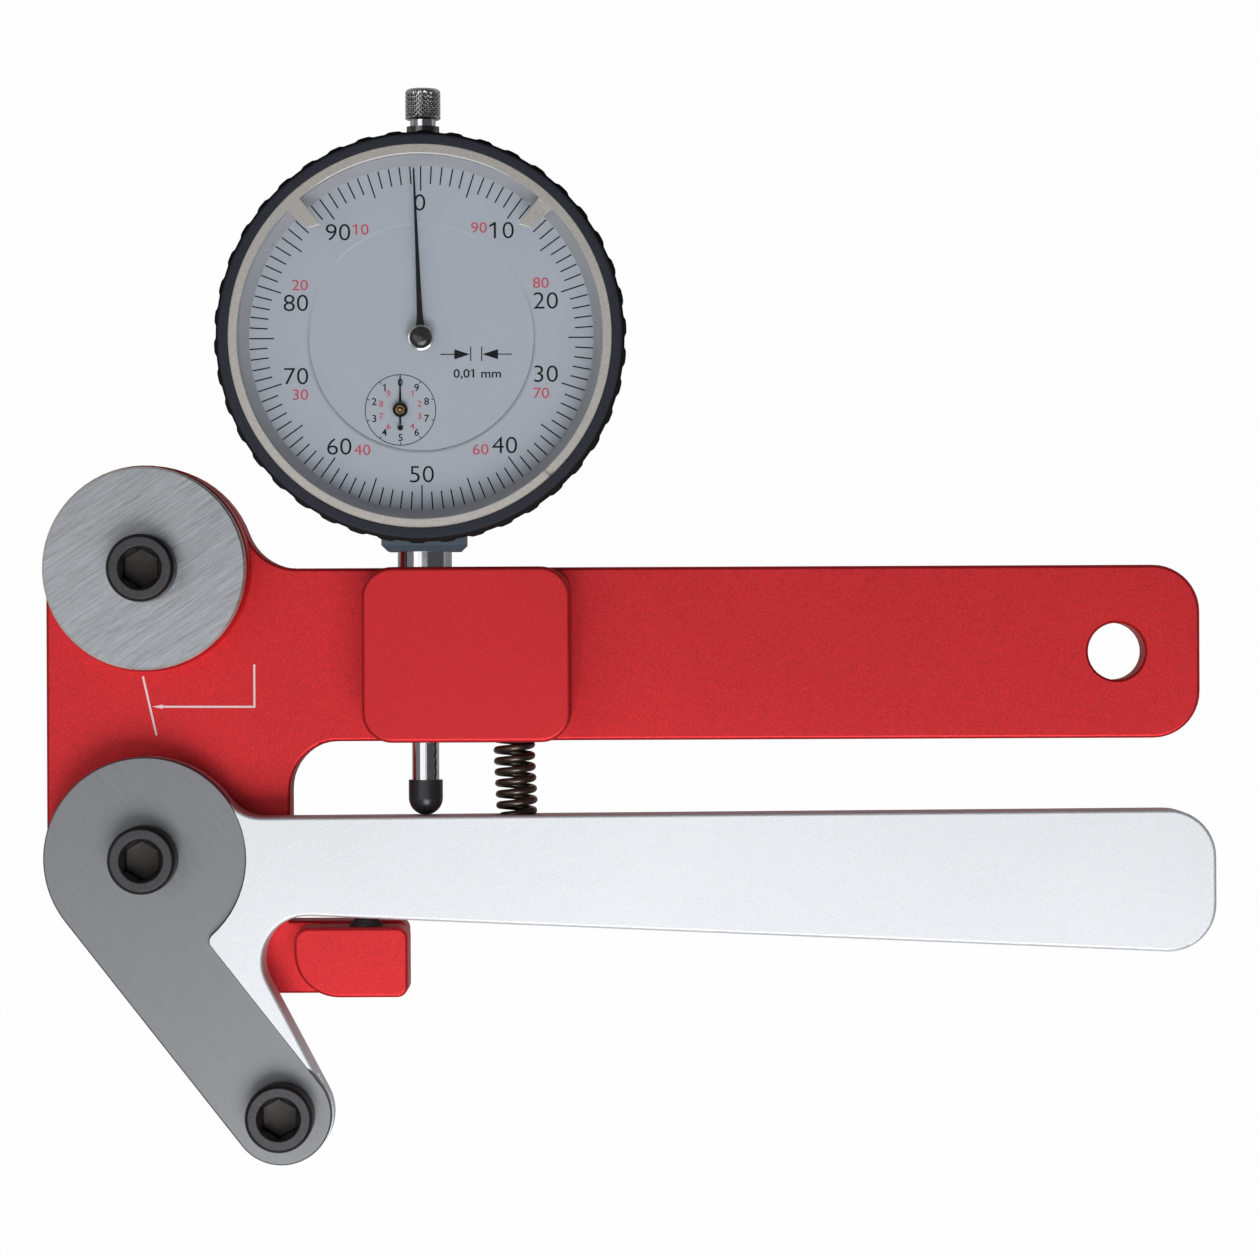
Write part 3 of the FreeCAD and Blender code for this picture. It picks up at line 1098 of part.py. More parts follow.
def hairspring():
    """Flat spiral spring between the take-up collet and its stud."""
    inner, inner_end = half_turn_arcs(COLLET_RADIUS, HAIRSPRING_TURNS, HAIRSPRING_STEP)
    outer, outer_end = half_turn_arcs(COLLET_RADIUS + HAIRSPRING_BAND, HAIRSPRING_TURNS, HAIRSPRING_STEP)
    caps = [Part.makeLine(V(COLLET_RADIUS, 0, 0), V(COLLET_RADIUS + HAIRSPRING_BAND, 0, 0)),
            Part.makeLine(inner_end, outer_end)]
    outline = Part.Wire(Part.__sortEdges__(inner + outer + caps))
    band = Part.Face(outline).extrude(V(0, 0, HAIRSPRING_HEIGHT))
    band.translate(V(TAKEUP_X, TAKEUP_Y, WHEEL_FRONT + HAIRSPRING_RISE))
    return placed(band)


def hairspring_stud():
    """Stud on the front plate that holds the hairspring's outer end."""
    reach = COLLET_RADIUS + HAIRSPRING_BAND + HAIRSPRING_TURNS * HAIRSPRING_STEP + STUD_RADIUS
    return placed(post(STUD_RADIUS, WHEEL_FRONT + HAIRSPRING_RISE, FRONT_BRIDGE_BACK, TAKEUP_X + reach, TAKEUP_Y))


def main_hand():
    """Long hand with its round hub."""
    low = MAIN_HAND_BACK + MAIN_BLADE_RISE
    blade = prism([(0, -MAIN_HAND_ROOT_HALF), (MAIN_HAND_LENGTH, -MAIN_HAND_TIP_HALF),
                   (MAIN_HAND_LENGTH, MAIN_HAND_TIP_HALF), (0, MAIN_HAND_ROOT_HALF)], low, low + HAND_SHEET)
    blade.rotate(ORIGIN, Z_AXIS, UPRIGHT + MAIN_HAND_LEAN)
    hub = turned([(0, MAIN_HAND_BACK), (MAIN_HUB_RADIUS, MAIN_HAND_BACK),
                  (MAIN_HUB_RADIUS, MAIN_HAND_BACK + 0.4 * MAIN_HUB_HEIGHT),
                  (0.72 * MAIN_HUB_RADIUS, MAIN_HAND_BACK + 0.87 * MAIN_HUB_HEIGHT),
                  (0, MAIN_HAND_BACK + MAIN_HUB_HEIGHT)])
    return placed(joined(hub, blade).cut(post(ARBOR_RADIUS, MAIN_HAND_BACK - 1, MAIN_HAND_BACK + HUB_GRIP)))


def counter_hand():
    """Short hand of the turn counter, with a tail."""
    low, high = COUNTER_HAND_BACK, COUNTER_HAND_BACK + HAND_SHEET
    blade = prism([(0, -COUNTER_ROOT_HALF), (COUNTER_NEEDLE, -COUNTER_TIP_HALF),
                   (COUNTER_NEEDLE, COUNTER_TIP_HALF), (0, COUNTER_ROOT_HALF)], low, high)
    stalk = box(-COUNTER_TAIL, 0, -COUNTER_ROOT_HALF / 2, COUNTER_ROOT_HALF / 2, low, high)
    drop = post(COUNTER_DROP_RADIUS, low, high, -COUNTER_TAIL + 2 * COUNTER_DROP_RADIUS, 0)
    hand = joined(blade, stalk, drop)
    hand.rotate(ORIGIN, Z_AXIS, UPRIGHT)
    hub = post(COUNTER_HUB_RADIUS, low - PLAY, low + 3 * HAND_SHEET)
    hand = joined(hand, hub)
    hand.translate(V(COUNTER_X, COUNTER_Y, 0))
    return placed(hand.cut(post(ARBOR_RADIUS, low - 1, low + 0.5, COUNTER_X, COUNTER_Y)))


# ------------------------------------------------------------------ every piece by name
PIECES = {
    "frame_plate": frame_plate(),
    "fixed_disc": fixed_disc(),
    "upper_post_screw": socket_screw(0, POST_SPAN, POST_FACE, BLIND_FLOOR + SCREW_END_ROOM),
    "pivot_post_screw": socket_screw(0, 0, POST_FACE + RUN, BLIND_FLOOR + SCREW_END_ROOM),
    "pivot_sleeve": pivot_sleeve(),
    "pivot_washer": pivot_washer(),
    "stop_screw": stop_screw(),
    "stem_clamp_screw": stem_clamp_screw(),
    "lever": lever(),
    "wear_plate": wear_plate(),
    "lower_post_screw": socket_screw(LOWER_POST.x, LOWER_POST.y, POST_FACE,
                                     LEVER_BACK + LEVER_FLOOR + SCREW_END_ROOM),
    "pivot_bush": pivot_bush(),
    "return_spring": return_spring(),
    "gauge_case": gauge_case(),
    "back_cover": back_cover(),
    "cover_screws": cover_screws(),
    "gauge_stem": gauge_stem(),
    "lower_bush": lower_bush(),
    "upper_bush": upper_bush(),
    "bezel": bezel(),
    "bezel_wire": bezel_wire(),
    "dial_ring": dial_ring(),
    "inner_dial": inner_dial(),
    "dial_retainer": dial_retainer(),
    "crystal": crystal(),
    "lower_tolerance_ring": tolerance_ring(LOWER_RING_BACK, 1),
    "upper_tolerance_ring": tolerance_ring(UPPER_RING_BACK, -1),
    "spindle": spindle(),
    "contact_cap": contact_cap(),
    "lifting_knob": lifting_knob(),
    "guide_pin": guide_pin(),
    "guide_rail": guide_rail(),
    "spindle_spring": spindle_spring(),
    "spring_post": spring_post(),
    "main_plate": main_plate(),
    "plate_screws": plate_screws(),
    "front_bridge": front_bridge(),
    "front_pillars": front_pillars(),
    "rear_bridge": rear_bridge(),
    "rear_pillars": rear_pillars(),
    "counter_arbor": counter_arbor(),
    "counter_wheel": counter_wheel(),
    "counter_hand": counter_hand(),
    "centre_arbor": centre_arbor(),
    "main_hand": main_hand(),
    "takeup_arbor": takeup_arbor(),
    "takeup_wheel": takeup_wheel(),
    "hairspring": hairspring(),
    "hairspring_stud": hairspring_stud(),
}

os.makedirs("parts", exist_ok=True)
for name, shape in PIECES.items():
    solids = shape.Solids
    print(name, len(solids), shape.isValid(), round(shape.Volume, 3))
    shape.exportStep("parts/" + name + ".step")
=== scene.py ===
import json
import math

import bmesh
import bpy
import numpy as np
from mathutils import Matrix

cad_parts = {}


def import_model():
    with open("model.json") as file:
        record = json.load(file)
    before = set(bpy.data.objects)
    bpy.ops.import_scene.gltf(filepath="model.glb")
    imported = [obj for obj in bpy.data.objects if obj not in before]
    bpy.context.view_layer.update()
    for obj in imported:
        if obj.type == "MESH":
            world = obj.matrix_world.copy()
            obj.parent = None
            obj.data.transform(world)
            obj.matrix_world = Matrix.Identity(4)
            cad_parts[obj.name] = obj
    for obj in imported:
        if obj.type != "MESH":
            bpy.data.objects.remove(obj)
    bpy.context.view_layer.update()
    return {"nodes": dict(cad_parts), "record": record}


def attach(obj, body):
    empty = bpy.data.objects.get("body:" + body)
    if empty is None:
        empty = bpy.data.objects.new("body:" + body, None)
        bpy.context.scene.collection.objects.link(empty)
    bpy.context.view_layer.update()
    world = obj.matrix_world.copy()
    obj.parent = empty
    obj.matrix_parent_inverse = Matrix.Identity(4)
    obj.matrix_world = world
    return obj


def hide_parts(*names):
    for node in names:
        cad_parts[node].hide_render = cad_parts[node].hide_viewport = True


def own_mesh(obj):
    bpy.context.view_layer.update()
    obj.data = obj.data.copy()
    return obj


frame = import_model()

MM = 0.001
TURN = 2 * math.pi


def reach(node):
    """Lowest and highest corner of a carried-over piece, in millimetres."""
    corners = np.array([tuple(corner) for corner in frame["nodes"][node].bound_box]) / MM
    return corners.min(axis=0).round(4), corners.max(axis=0).round(4)


def centre_of(node):
    """Centre of a carried-over piece's box, in millimetres."""
    low, high = reach(node)
    return ((low + high) / 2).round(4)


# Places and levels that several pieces share, in millimetres
GAUGE = centre_of("inner_dial")[:2]
STEM_Z = centre_of("lifting_knob")[2]
COUNTER = centre_of("counter_arbor")[:2] - GAUGE
DIAL_FRONT = reach("dial_ring")[1][2]
INNER_DIAL_FRONT = reach("inner_dial")[1][2]
INNER_RADIUS = reach("inner_dial")[1][0] - GAUGE[0]
BEZEL_FRONT = reach("bezel")[1][2]
LOWER_RING_TOP = reach("lower_tolerance_ring")[1][2]
UPPER_RING_TOP = reach("upper_tolerance_ring")[1][2]
MAIN_HAND_BACK = reach("main_hand")[0][2]
COUNTER_HAND_BACK = reach("counter_hand")[0][2] + 0.1
PLATE_FRONT = reach("pivot_washer")[0][2]
POST_FACE = reach("fixed_disc")[1][2]
POST_SPAN = centre_of("fixed_disc")[1]
ARM_LEAN = math.radians(27.8)
LOWER_POST = (POST_SPAN * math.sin(ARM_LEAN), -POST_SPAN * math.cos(ARM_LEAN))
HEAD_HEIGHT = 6.0
FLANGE_RISE = 0.40
PRINT_RISE = 0.012


# ------------------------------------------------------------------ mesh helpers
def smooth_step(start, end, value):
    """Goes from 0 at start to 1 at end along 3t^2 - 2t^3, where t is the share of the way between them.
    The start may be the larger of the two."""
    t = np.clip((value - start) / (end - start), 0.0, 1.0)
    return t * t * (3.0 - 2.0 * t)


def tent(value):
    """Triangle wave: 1 at whole numbers, 0 half way between them."""
    return np.abs(2.0 * (value - np.floor(value)) - 1.0)


def angles(count):
    """A full turn in equal steps, without its end."""
    return np.arange(count) * TURN / count


def directions(angle):
    """Unit vectors in the dial's plane at the given angles."""
    return np.stack([np.cos(angle), np.sin(angle)], axis=-1)


def grid_quads(rows, columns, wrap_rows=False, wrap_columns=False):
    """Corner numbers of the cells of a grid whose point (i, j) has the number i * columns + j."""
    i = np.arange(rows if wrap_rows else rows - 1)[:, None]
    j = np.arange(columns if wrap_columns else columns - 1)[None, :]
    below, beside = (i + 1) % rows, (j + 1) % columns
    corners = [i * columns + j, i * columns + beside, below * columns + beside, below * columns + j]
    return np.stack([c + 0 * (i + j) for c in corners], axis=-1).reshape(-1, 4)


def mesh_of(name, points, faces, sharp=35.0):
    """Mesh of points in millimetres and equal-sided faces, with doubles merged, faces outwards and edges
    sharper than an angle kept sharp."""
    points = np.asarray(points, float).reshape(-1, 3) * MM
    faces = np.asarray(faces, int)
    mesh = bpy.data.meshes.new(name)
    mesh.vertices.add(len(points))
    mesh.vertices.foreach_set("co", points.ravel())
    mesh.loops.add(faces.size)
    mesh.loops.foreach_set("vertex_index", faces.ravel())
    mesh.polygons.add(len(faces))
    mesh.polygons.foreach_set("loop_start", np.arange(len(faces)) * faces.shape[1])
    mesh.update(calc_edges=True)
    work = bmesh.new()
    work.from_mesh(mesh)
    bmesh.ops.remove_doubles(work, verts=work.verts, dist=2e-6)
    bmesh.ops.recalc_face_normals(work, faces=work.faces)
    work.to_mesh(mesh)
    work.free()
    mesh.shade_smooth()
    mesh.set_sharp_from_angle(angle=math.radians(sharp))
    return mesh


def add_piece(name, mesh, body, material, stands_for=()):
    """Object of a finished mesh, riding on a body and carrying a finish."""
    piece = bpy.data.objects.new(name, mesh)
    bpy.context.scene.collection.objects.link(piece)
    mesh.materials.append(material)
    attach(piece, body)
    if stands_for:
        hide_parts(*stands_for)
    return piece


def turned_points(profile, columns, swell=0.0):
    """Points of a profile of (radius, height) turned round an axis: each ring is the radius times the
    cosine and sine of the angle. swell is what each point's radius grows by, one row for each point of
    the profile."""
    profile = np.asarray(profile, float)
    angle = angles(columns)
    radius = profile[:, :1] + swell
    height = np.repeat(profile[:, 1:2], columns, axis=1)
    return np.stack([radius * np.cos(angle), radius * np.sin(angle), height], axis=-1)


def flat_lines(ends, half_width, level):
    """Straight lines of a print: four corners each, which are the two ends moved sideways by half the
    line's width to either side."""
    ends = np.asarray(ends, float).reshape(-1, 2, 2)
    along = ends[:, 1] - ends[:, 0]
    side = np.stack([-along[:, 1], along[:, 0]], axis=-1)
    side *= half_width / np.linalg.norm(side, axis=-1, keepdims=True)
    corners = np.stack([ends[:, 0] - side, ends[:, 1] - side, ends[:, 1] + side, ends[:, 0] + side], axis=1)
    points = np.concatenate([corners, np.full(corners.shape[:2] + (1,), level)], axis=-1).reshape(-1, 3)
    return points, np.arange(len(points)).reshape(-1, 4)


def flat_ring(inner, outer, x, y, level, columns):
    """Ring of a print: a grid of two rings, at an inner and an outer radius from a centre. A radius may
    change around the ring."""
    angle = angles(columns)
    radii = np.stack([inner + 0 * angle, outer + 0 * angle])
    points = np.stack([x + radii * np.cos(angle), y + radii * np.sin(angle), level + 0 * radii], axis=-1)
    return points, grid_quads(2, columns, wrap_columns=True)


def quads_to_triangles(quads):
    """Two triangles for each four-sided cell."""
    quads = np.asarray(quads, int)
    return np.concatenate([quads[:, [0, 1, 2]], quads[:, [0, 2, 3]]])


def gather(parts):
    """Points and triangles of several prints as one pair of arrays, each part's corner numbers shifted by
    the number of points before it."""
    points, triangles, shift = [], [], 0
    for part_points, part_faces in parts:
        part_points = np.asarray(part_points, float).reshape(-1, 3)
        part_faces = np.asarray(part_faces, int)
        if part_faces.shape[1] == 4:
            part_faces = quads_to_triangles(part_faces)
        points.append(part_points)
        triangles.append(part_faces + shift)
        shift += len(part_points)
    return np.concatenate(points), np.concatenate(triangles)


def head_strokes(points, triangles):
    """Short slanting stroke at the head of each figure one, in sizes of the font. A one is a bare upright
    bar, so its triangles are the ones that are tall and narrow; the stroke is a four-sided patch down and
    to the left from the bar's top."""
    tall, narrow = 0.6, 0.2
    corners = points[triangles.reshape(-1, 3)][:, :, :2]
    size = np.ptp(corners, axis=1)
    bars = corners[(size[:, 1] > tall) & (size[:, 0] < narrow)]
    left = np.unique(bars[:, :, 0].min(axis=1).round(4))
    top = bars[:, :, 1].max()
    shape = np.array([(0.02, 0.0), (0.02, -0.105), (-0.165, -0.215), (-0.165, -0.125)])
    spots = np.stack([left, np.full(len(left), top), np.zeros(len(left))], axis=-1)
    patches = spots[:, None, :] + np.pad(shape, ((0, 0), (0, 1)))[None, :, :]
    return patches.reshape(-1, 3), quads_to_triangles(np.arange(4 * len(left)).reshape(-1, 4))


def lettering(text, height, place, level, wide, weight):
    """Flat numerals centred on a place: the outline of each figure is thickened by a weight and filled,
    scaled so that a figure's height is the one asked for, then moved so that its box is centred. wide
    stretches it sideways."""
    figure_height = 0.7
    curve = bpy.data.curves.new("figures", "FONT")
    curve.body = text
    curve.offset = weight
    curve.resolution_u = 4
    holder = bpy.data.objects.new("figures", curve)
    bpy.context.scene.collection.objects.link(holder)
    bpy.context.view_layer.update()
    mesh = bpy.data.meshes.new_from_object(holder.evaluated_get(bpy.context.evaluated_depsgraph_get()))
    mesh.calc_loop_triangles()
    points = np.empty(len(mesh.vertices) * 3)
    mesh.vertices.foreach_get("co", points)
    points = points.reshape(-1, 3)
    triangles = np.empty(len(mesh.loop_triangles) * 3, int)
    mesh.loop_triangles.foreach_get("vertices", triangles)
    bpy.data.objects.remove(holder)
    bpy.data.curves.remove(curve)
    bpy.data.meshes.remove(mesh)
    if "1" in text:
        points, triangles = gather([(points, triangles.reshape(-1, 3)), head_strokes(points, triangles)])
    points = (points - (points.min(0) + points.max(0)) / 2) * (height / figure_height)
    points[:, 0] = points[:, 0] * wide + place[0]
    points[:, 1] += place[1]
    points[:, 2] = level
    return points, triangles.reshape(-1, 3)


def shifted(points, x=0.0, y=0.0, z=0.0):
    """Points moved by three distances."""
    return np.asarray(points, float) + np.array([x, y, z])


def add_print(name, parts, body, material, origin=GAUGE):
    """Piece made of flat prints, moved to their place from the dial's centre or another origin."""
    points, triangles = gather(parts)
    add_piece(name, mesh_of(name, shifted(points, *origin), triangles), body, material)


# ------------------------------------------------------------------ shader helpers
def new_node(tree, kind, **values):
    """Node with its sockets or properties set by name."""
    node = tree.nodes.new(kind)
    for key, value in values.items():
        if key in node.inputs:
            node.inputs[key].default_value = value
        else:
            setattr(node, key, value)
    return node


def feed(tree, socket, value):
    """Links a socket to another one, or sets it to a number."""
    if isinstance(value, bpy.types.NodeSocket):
        tree.links.new(value, socket)
    else:
        socket.default_value = value


def math_node(tree, operation, first, second, clamp=False):
    """Math node whose inputs are sockets or numbers; returns its output."""
    node = new_node(tree, "ShaderNodeMath", operation=operation, use_clamp=clamp)
    feed(tree, node.inputs[0], first)
    feed(tree, node.inputs[1], second)
    return node.outputs[0]


def vector_node(tree, operation, first, second=None):
    """Vector math node whose inputs are sockets or triples; returns the node."""
    node = new_node(tree, "ShaderNodeVectorMath", operation=operation)
    feed(tree, node.inputs[0], first)
    if second is not None:
        feed(tree, node.inputs[1], second)
    return node


def mix_shaders(tree, share, first, second):
    """Mix of two shaders; share is the second one's."""
    mix = tree.nodes.new("ShaderNodeMixShader")
    for socket, source in zip(mix.inputs, (share, first, second)):
        tree.links.new(source, socket)
    return mix.outputs[0]


def new_group(name, inputs, outputs):
    """Empty shader node group with named sockets: its tree, its input node and its output node."""
    group = bpy.data.node_groups.new(name, "ShaderNodeTree")
    for label, kind, value in inputs:
        socket = group.interface.new_socket(label, in_out="INPUT", socket_type=kind)
        socket.default_value = value
    for label, kind in outputs:
        group.interface.new_socket(label, in_out="OUTPUT", socket_type=kind)
    return group, group.nodes.new("NodeGroupInput"), group.nodes.new("NodeGroupOutput")


def object_place(tree):
    """Place on the piece, in metres, from the Object coordinates."""
    return new_node(tree, "ShaderNodeTexCoord").outputs["Object"]


def swing(tree, place, scale, detail=2.0):
    """Noise less a half, so that it swings evenly about zero."""
    noise = new_node(tree, "ShaderNodeTexNoise", Detail=detail)
    feed(tree, noise.inputs["Vector"], place)
    feed(tree, noise.inputs["Scale"], scale)
    return math_node(tree, "SUBTRACT", noise.outputs["Fac"], 0.5)


def new_effect(name, more_inputs):
    """Group of an effect that has a colour, a spread, a roughness and a depth, with inputs of its own
    after them."""
    inputs = [("Color", "NodeSocketColor", (0.5, 0.5, 0.5, 1)), ("Spread", "NodeSocketFloat", 0.2),
              ("Roughness", "NodeSocketFloat", 0.4), ("Depth", "NodeSocketFloat", 0.3)]
    outputs = [("Color", "NodeSocketColor"), ("Roughness", "NodeSocketFloat"),
               ("Normal", "NodeSocketVector")]
    return new_group(name, inputs + more_inputs, outputs)


def lay_pattern(group, given, made, pattern, relief, rough_share, distance):
    """Ends an effect. The colour is multiplied by 1 + pattern * Spread, the roughness is Roughness +
    pattern * rough_share, and the relief bumps the normal by a distance in metres, at the strength
    Depth."""
    shade = math_node(group, "ADD", math_node(group, "MULTIPLY", pattern, given.outputs["Spread"]), 1.0)
    toned = vector_node(group, "SCALE", given.outputs["Color"])
    feed(group, toned.inputs["Scale"], shade)
    feed(group, made.inputs["Color"], toned.outputs[0])
    rougher = math_node(group, "MULTIPLY", pattern, rough_share)
    feed(group, made.inputs["Roughness"], math_node(group, "ADD", given.outputs["Roughness"], rougher))
    bump = new_node(group, "ShaderNodeBump", Distance=distance)
    feed(group, bump.inputs["Strength"], given.outputs["Depth"])
    feed(group, bump.inputs["Height"], relief)
    feed(group, made.inputs["Normal"], bump.outputs["Normal"])


def blast_grain():
    """Fine pitted grain of a bead-blasted surface: a fine noise, plus 0.12 of a coarser one, plus 0.3 of
    a slow drift of tone."""
    group, given, made = new_effect("blast_grain", [("Scale", "NodeSocketFloat", 2600.0)])
    place = object_place(group)
    fine = swing(group, place, given.outputs["Scale"])
    patch = math_node(group, "MULTIPLY", swing(group, place, 900.0, 1.0), 0.12)
    drift = math_node(group, "MULTIPLY", swing(group, place, 22.0), 0.3)
    pattern = math_node(group, "ADD", math_node(group, "ADD", fine, patch), drift)
    lay_pattern(group, given, made, pattern, fine, 0.12, 0.00004)
    return group


def ground_lines():
    """Straight grinding lines: three noises that are stretched along one direction, the first at its full
    swing and the other two at 0.6 of it."""
    group, given, made = new_effect("ground_lines", [("Turn", "NodeSocketVector", (0, 0, 0)),
                                                     ("Fineness", "NodeSocketFloat", 1.0)])
    turn = new_node(group, "ShaderNodeMapping")
    feed(group, turn.inputs["Vector"], object_place(group))
    feed(group, turn.inputs["Rotation"], given.outputs["Turn"])
    layers = []
    for across, along, share in ((2600.0, 90.0, 1.0), (900.0, 40.0, 0.6), (5200.0, 400.0, 0.6)):
        scaled = new_node(group, "ShaderNodeMapping", Scale=(along, across, along))
        feed(group, scaled.inputs["Vector"], turn.outputs["Vector"])
        noise = swing(group, scaled.outputs["Vector"], given.outputs["Fineness"])
        layers.append(math_node(group, "MULTIPLY", noise, share))
    pattern = math_node(group, "ADD", layers[0], math_node(group, "ADD", layers[1], layers[2]))
    lay_pattern(group, given, made, pattern, pattern, 0.15, 0.00002)
    return group


def turned_rings():
    """Fine turning marks: a noise read along the distance from an axis and along its height."""
    marks_per_metre = 4200.0
    group, given, made = new_effect("turned_rings", [("Centre", "NodeSocketVector", (0, 0, 0))])
    away = vector_node(group, "SUBTRACT", object_place(group), given.outputs["Centre"])
    flat = vector_node(group, "MULTIPLY", away.outputs[0], (1, 1, 0))
    distance = vector_node(group, "LENGTH", flat.outputs[0])
    split = new_node(group, "ShaderNodeSeparateXYZ")
    feed(group, split.inputs[0], away.outputs[0])
    join = new_node(group, "ShaderNodeCombineXYZ")
    feed(group, join.inputs["X"], math_node(group, "MULTIPLY", distance.outputs["Value"], marks_per_metre))
    feed(group, join.inputs["Y"], math_node(group, "MULTIPLY", split.outputs["Z"], marks_per_metre))
    pattern = swing(group, join.outputs[0], 1.0)
    lay_pattern(group, given, made, pattern, pattern, 0.2, 0.00002)
    return group


def level_tones():
    """One colour below a height and another above it: the share of the upper one is the height over
    Level, divided by Step, between 0 and 1."""
    group, given, made = new_group(
        "level_tones",
        [("Low", "NodeSocketColor", (0, 0, 0, 1)), ("High", "NodeSocketColor", (1, 1, 1, 1)),
         ("Level", "NodeSocketFloat", 0.0), ("Step", "NodeSocketFloat", 0.0002)],
        [("Color", "NodeSocketColor")])
    split = new_node(group, "ShaderNodeSeparateXYZ")
    feed(group, split.inputs[0], object_place(group))
    above = math_node(group, "SUBTRACT", split.outputs["Z"], given.outputs["Level"])
    share = math_node(group, "DIVIDE", above, given.outputs["Step"], clamp=True)
    mix = new_node(group, "ShaderNodeMix", data_type="RGBA")
    for socket, source in ((mix.inputs["Factor"], share), (mix.inputs[6], given.outputs["Low"]),
                           (mix.inputs[7], given.outputs["High"])):
        feed(group, socket, source)
    feed(group, made.inputs["Color"], mix.outputs[2])
    return group


GRAIN = blast_grain()
LINES = ground_lines()
RINGS = turned_rings()
LEVELS = level_tones()


def new_material(name):
    """Material with its own node tree: the material, the tree and its shader."""
    material = bpy.data.materials.new(name)
    material.use_nodes = True
    return material, material.node_tree, material.node_tree.nodes["Principled BSDF"]


def place_group(tree, group, values):
    """A group placed in a tree, with its own values."""
    node = new_node(tree, "ShaderNodeGroup", node_tree=group)
    for key, value in values.items():
        node.inputs[key].default_value = value
    return node


def finish(name, group, colour, values, **shader_values):
    """Material whose colour, roughness and normal come from one of the effects above. Plain numbers for
    the shader are set on its own sockets."""
    material, tree, shader = new_material(name)
    effect = place_group(tree, group, {"Color": (*colour, 1.0), **values})
    tree.links.new(effect.outputs["Color"], shader.inputs["Base Color"])
    tree.links.new(effect.outputs["Roughness"], shader.inputs["Roughness"])
    tree.links.new(effect.outputs["Normal"], shader.inputs["Normal"])
    for key, value in shader_values.items():
        shader.inputs[key.replace("_", " ")].default_value = value
    return material


def place_tones(tree, low, high, level, step):
    """Two colours with a step between them, at a height and over a rise in millimetres; returns the
    colour."""
    tones = place_group(tree, LEVELS, {"Low": (*low, 1.0), "High": (*high, 1.0), "Level": level * MM,
                                       "Step": step * MM})
    return tones.outputs["Color"]


def two_tone(material, low, level, step):
    """Gives a finish another colour below a height."""
    tree = material.node_tree
    effect = next(node for node in tree.nodes if node.type == "GROUP")
    high = tuple(effect.inputs["Color"].default_value)[:3]
    tree.links.new(place_tones(tree, low, high, level, step), effect.inputs["Color"])


def edged_sheet(name, top):
    """Matt metal sheet whose bevelled edge, just under its top face, is polished and painted near white as
    a highlight.
    """
    edge, step = top - 0.02, 0.01
    sheet = finish(name, GRAIN, (0.56, 0.535, 0.50),
                   {"Spread": 0.40, "Roughness": 0.45, "Depth": 0.25, "Scale": 2600.0}, Metallic=0.6)
    # Painted highlight: the edge is painted near white so that it shows as a bright line; its lower
    # roughness below is the real polish.
    two_tone(sheet, (0.97, 0.96, 0.95), edge, step)
    tree = sheet.node_tree
    polish = place_tones(tree, (0.2, 0.2, 0.2), (0.45, 0.45, 0.45), edge, step)
    tree.links.new(polish, tree.nodes["Principled BSDF"].inputs["Roughness"])
    return sheet


def clear_window(name):
    """Clear glass that lets the lamps through."""
    material, tree, shader = new_material(name)
    for key, value in {"Base Color": (0.97, 0.98, 0.985, 1), "Roughness": 0.0, "IOR": 1.40,
                       "Transmission Weight": 1.0}.items():
        shader.inputs[key].default_value = value
    through = new_node(tree, "ShaderNodeBsdfTransparent", Color=(0.95, 0.96, 0.965, 1))
    shadow = tree.nodes.new("ShaderNodeLightPath").outputs["Is Shadow Ray"]
    glass = mix_shaders(tree, shadow, shader.outputs[0], through.outputs[0])
    tree.links.new(glass, tree.nodes["Material Output"].inputs["Surface"])
    return material


# ------------------------------------------------------------------ finishes
red_anodised = finish("red_anodised", GRAIN, (0.65, 0.0225, 0.0290),
                      {"Spread": 1.0, "Roughness": 0.44, "Depth": 0.30, "Scale": 5200.0}, Metallic=0.62)
bare_aluminium = finish("bare_aluminium", GRAIN, (0.855, 0.880, 0.91),
                        {"Spread": 0.55, "Roughness": 0.56, "Depth": 0.30, "Scale": 5200.0}, Metallic=0.75)
ground_disc_painted_rim = finish("ground_disc_painted_rim", LINES, (0.400, 0.415, 0.438),
                     {"Turn": (0, 0, math.radians(-33)), "Spread": 0.85, "Roughness": 0.42, "Depth": 0.25,
                      "Fineness": 2.6}, Metallic=0.9)
# Painted highlight: the disc's bevelled rim, just under its face, is painted near white so that it shows as
# a bright line.
two_tone(ground_disc_painted_rim, (1.0, 0.98, 0.94), POST_FACE - 0.02, 0.01)
ground_plate = finish("ground_plate", LINES, (0.225, 0.229, 0.243),
                      {"Turn": (0, 0, math.radians(52)), "Spread": 0.30, "Roughness": 0.42, "Depth": 0.15,
                       "Fineness": 3.0}, Metallic=0.9)
black_oxide = finish("black_oxide", GRAIN, (0.060, 0.059, 0.062),
                     {"Spread": 0.5, "Roughness": 0.42, "Depth": 0.15, "Scale": 3000.0}, Metallic=0.6)
post_oxide_painted_shade = finish("post_oxide_painted_shade", GRAIN, (0.062, 0.062, 0.066),
                    {"Spread": 0.8, "Roughness": 0.42, "Depth": 0.2, "Scale": 2200.0}, Metallic=0.6)
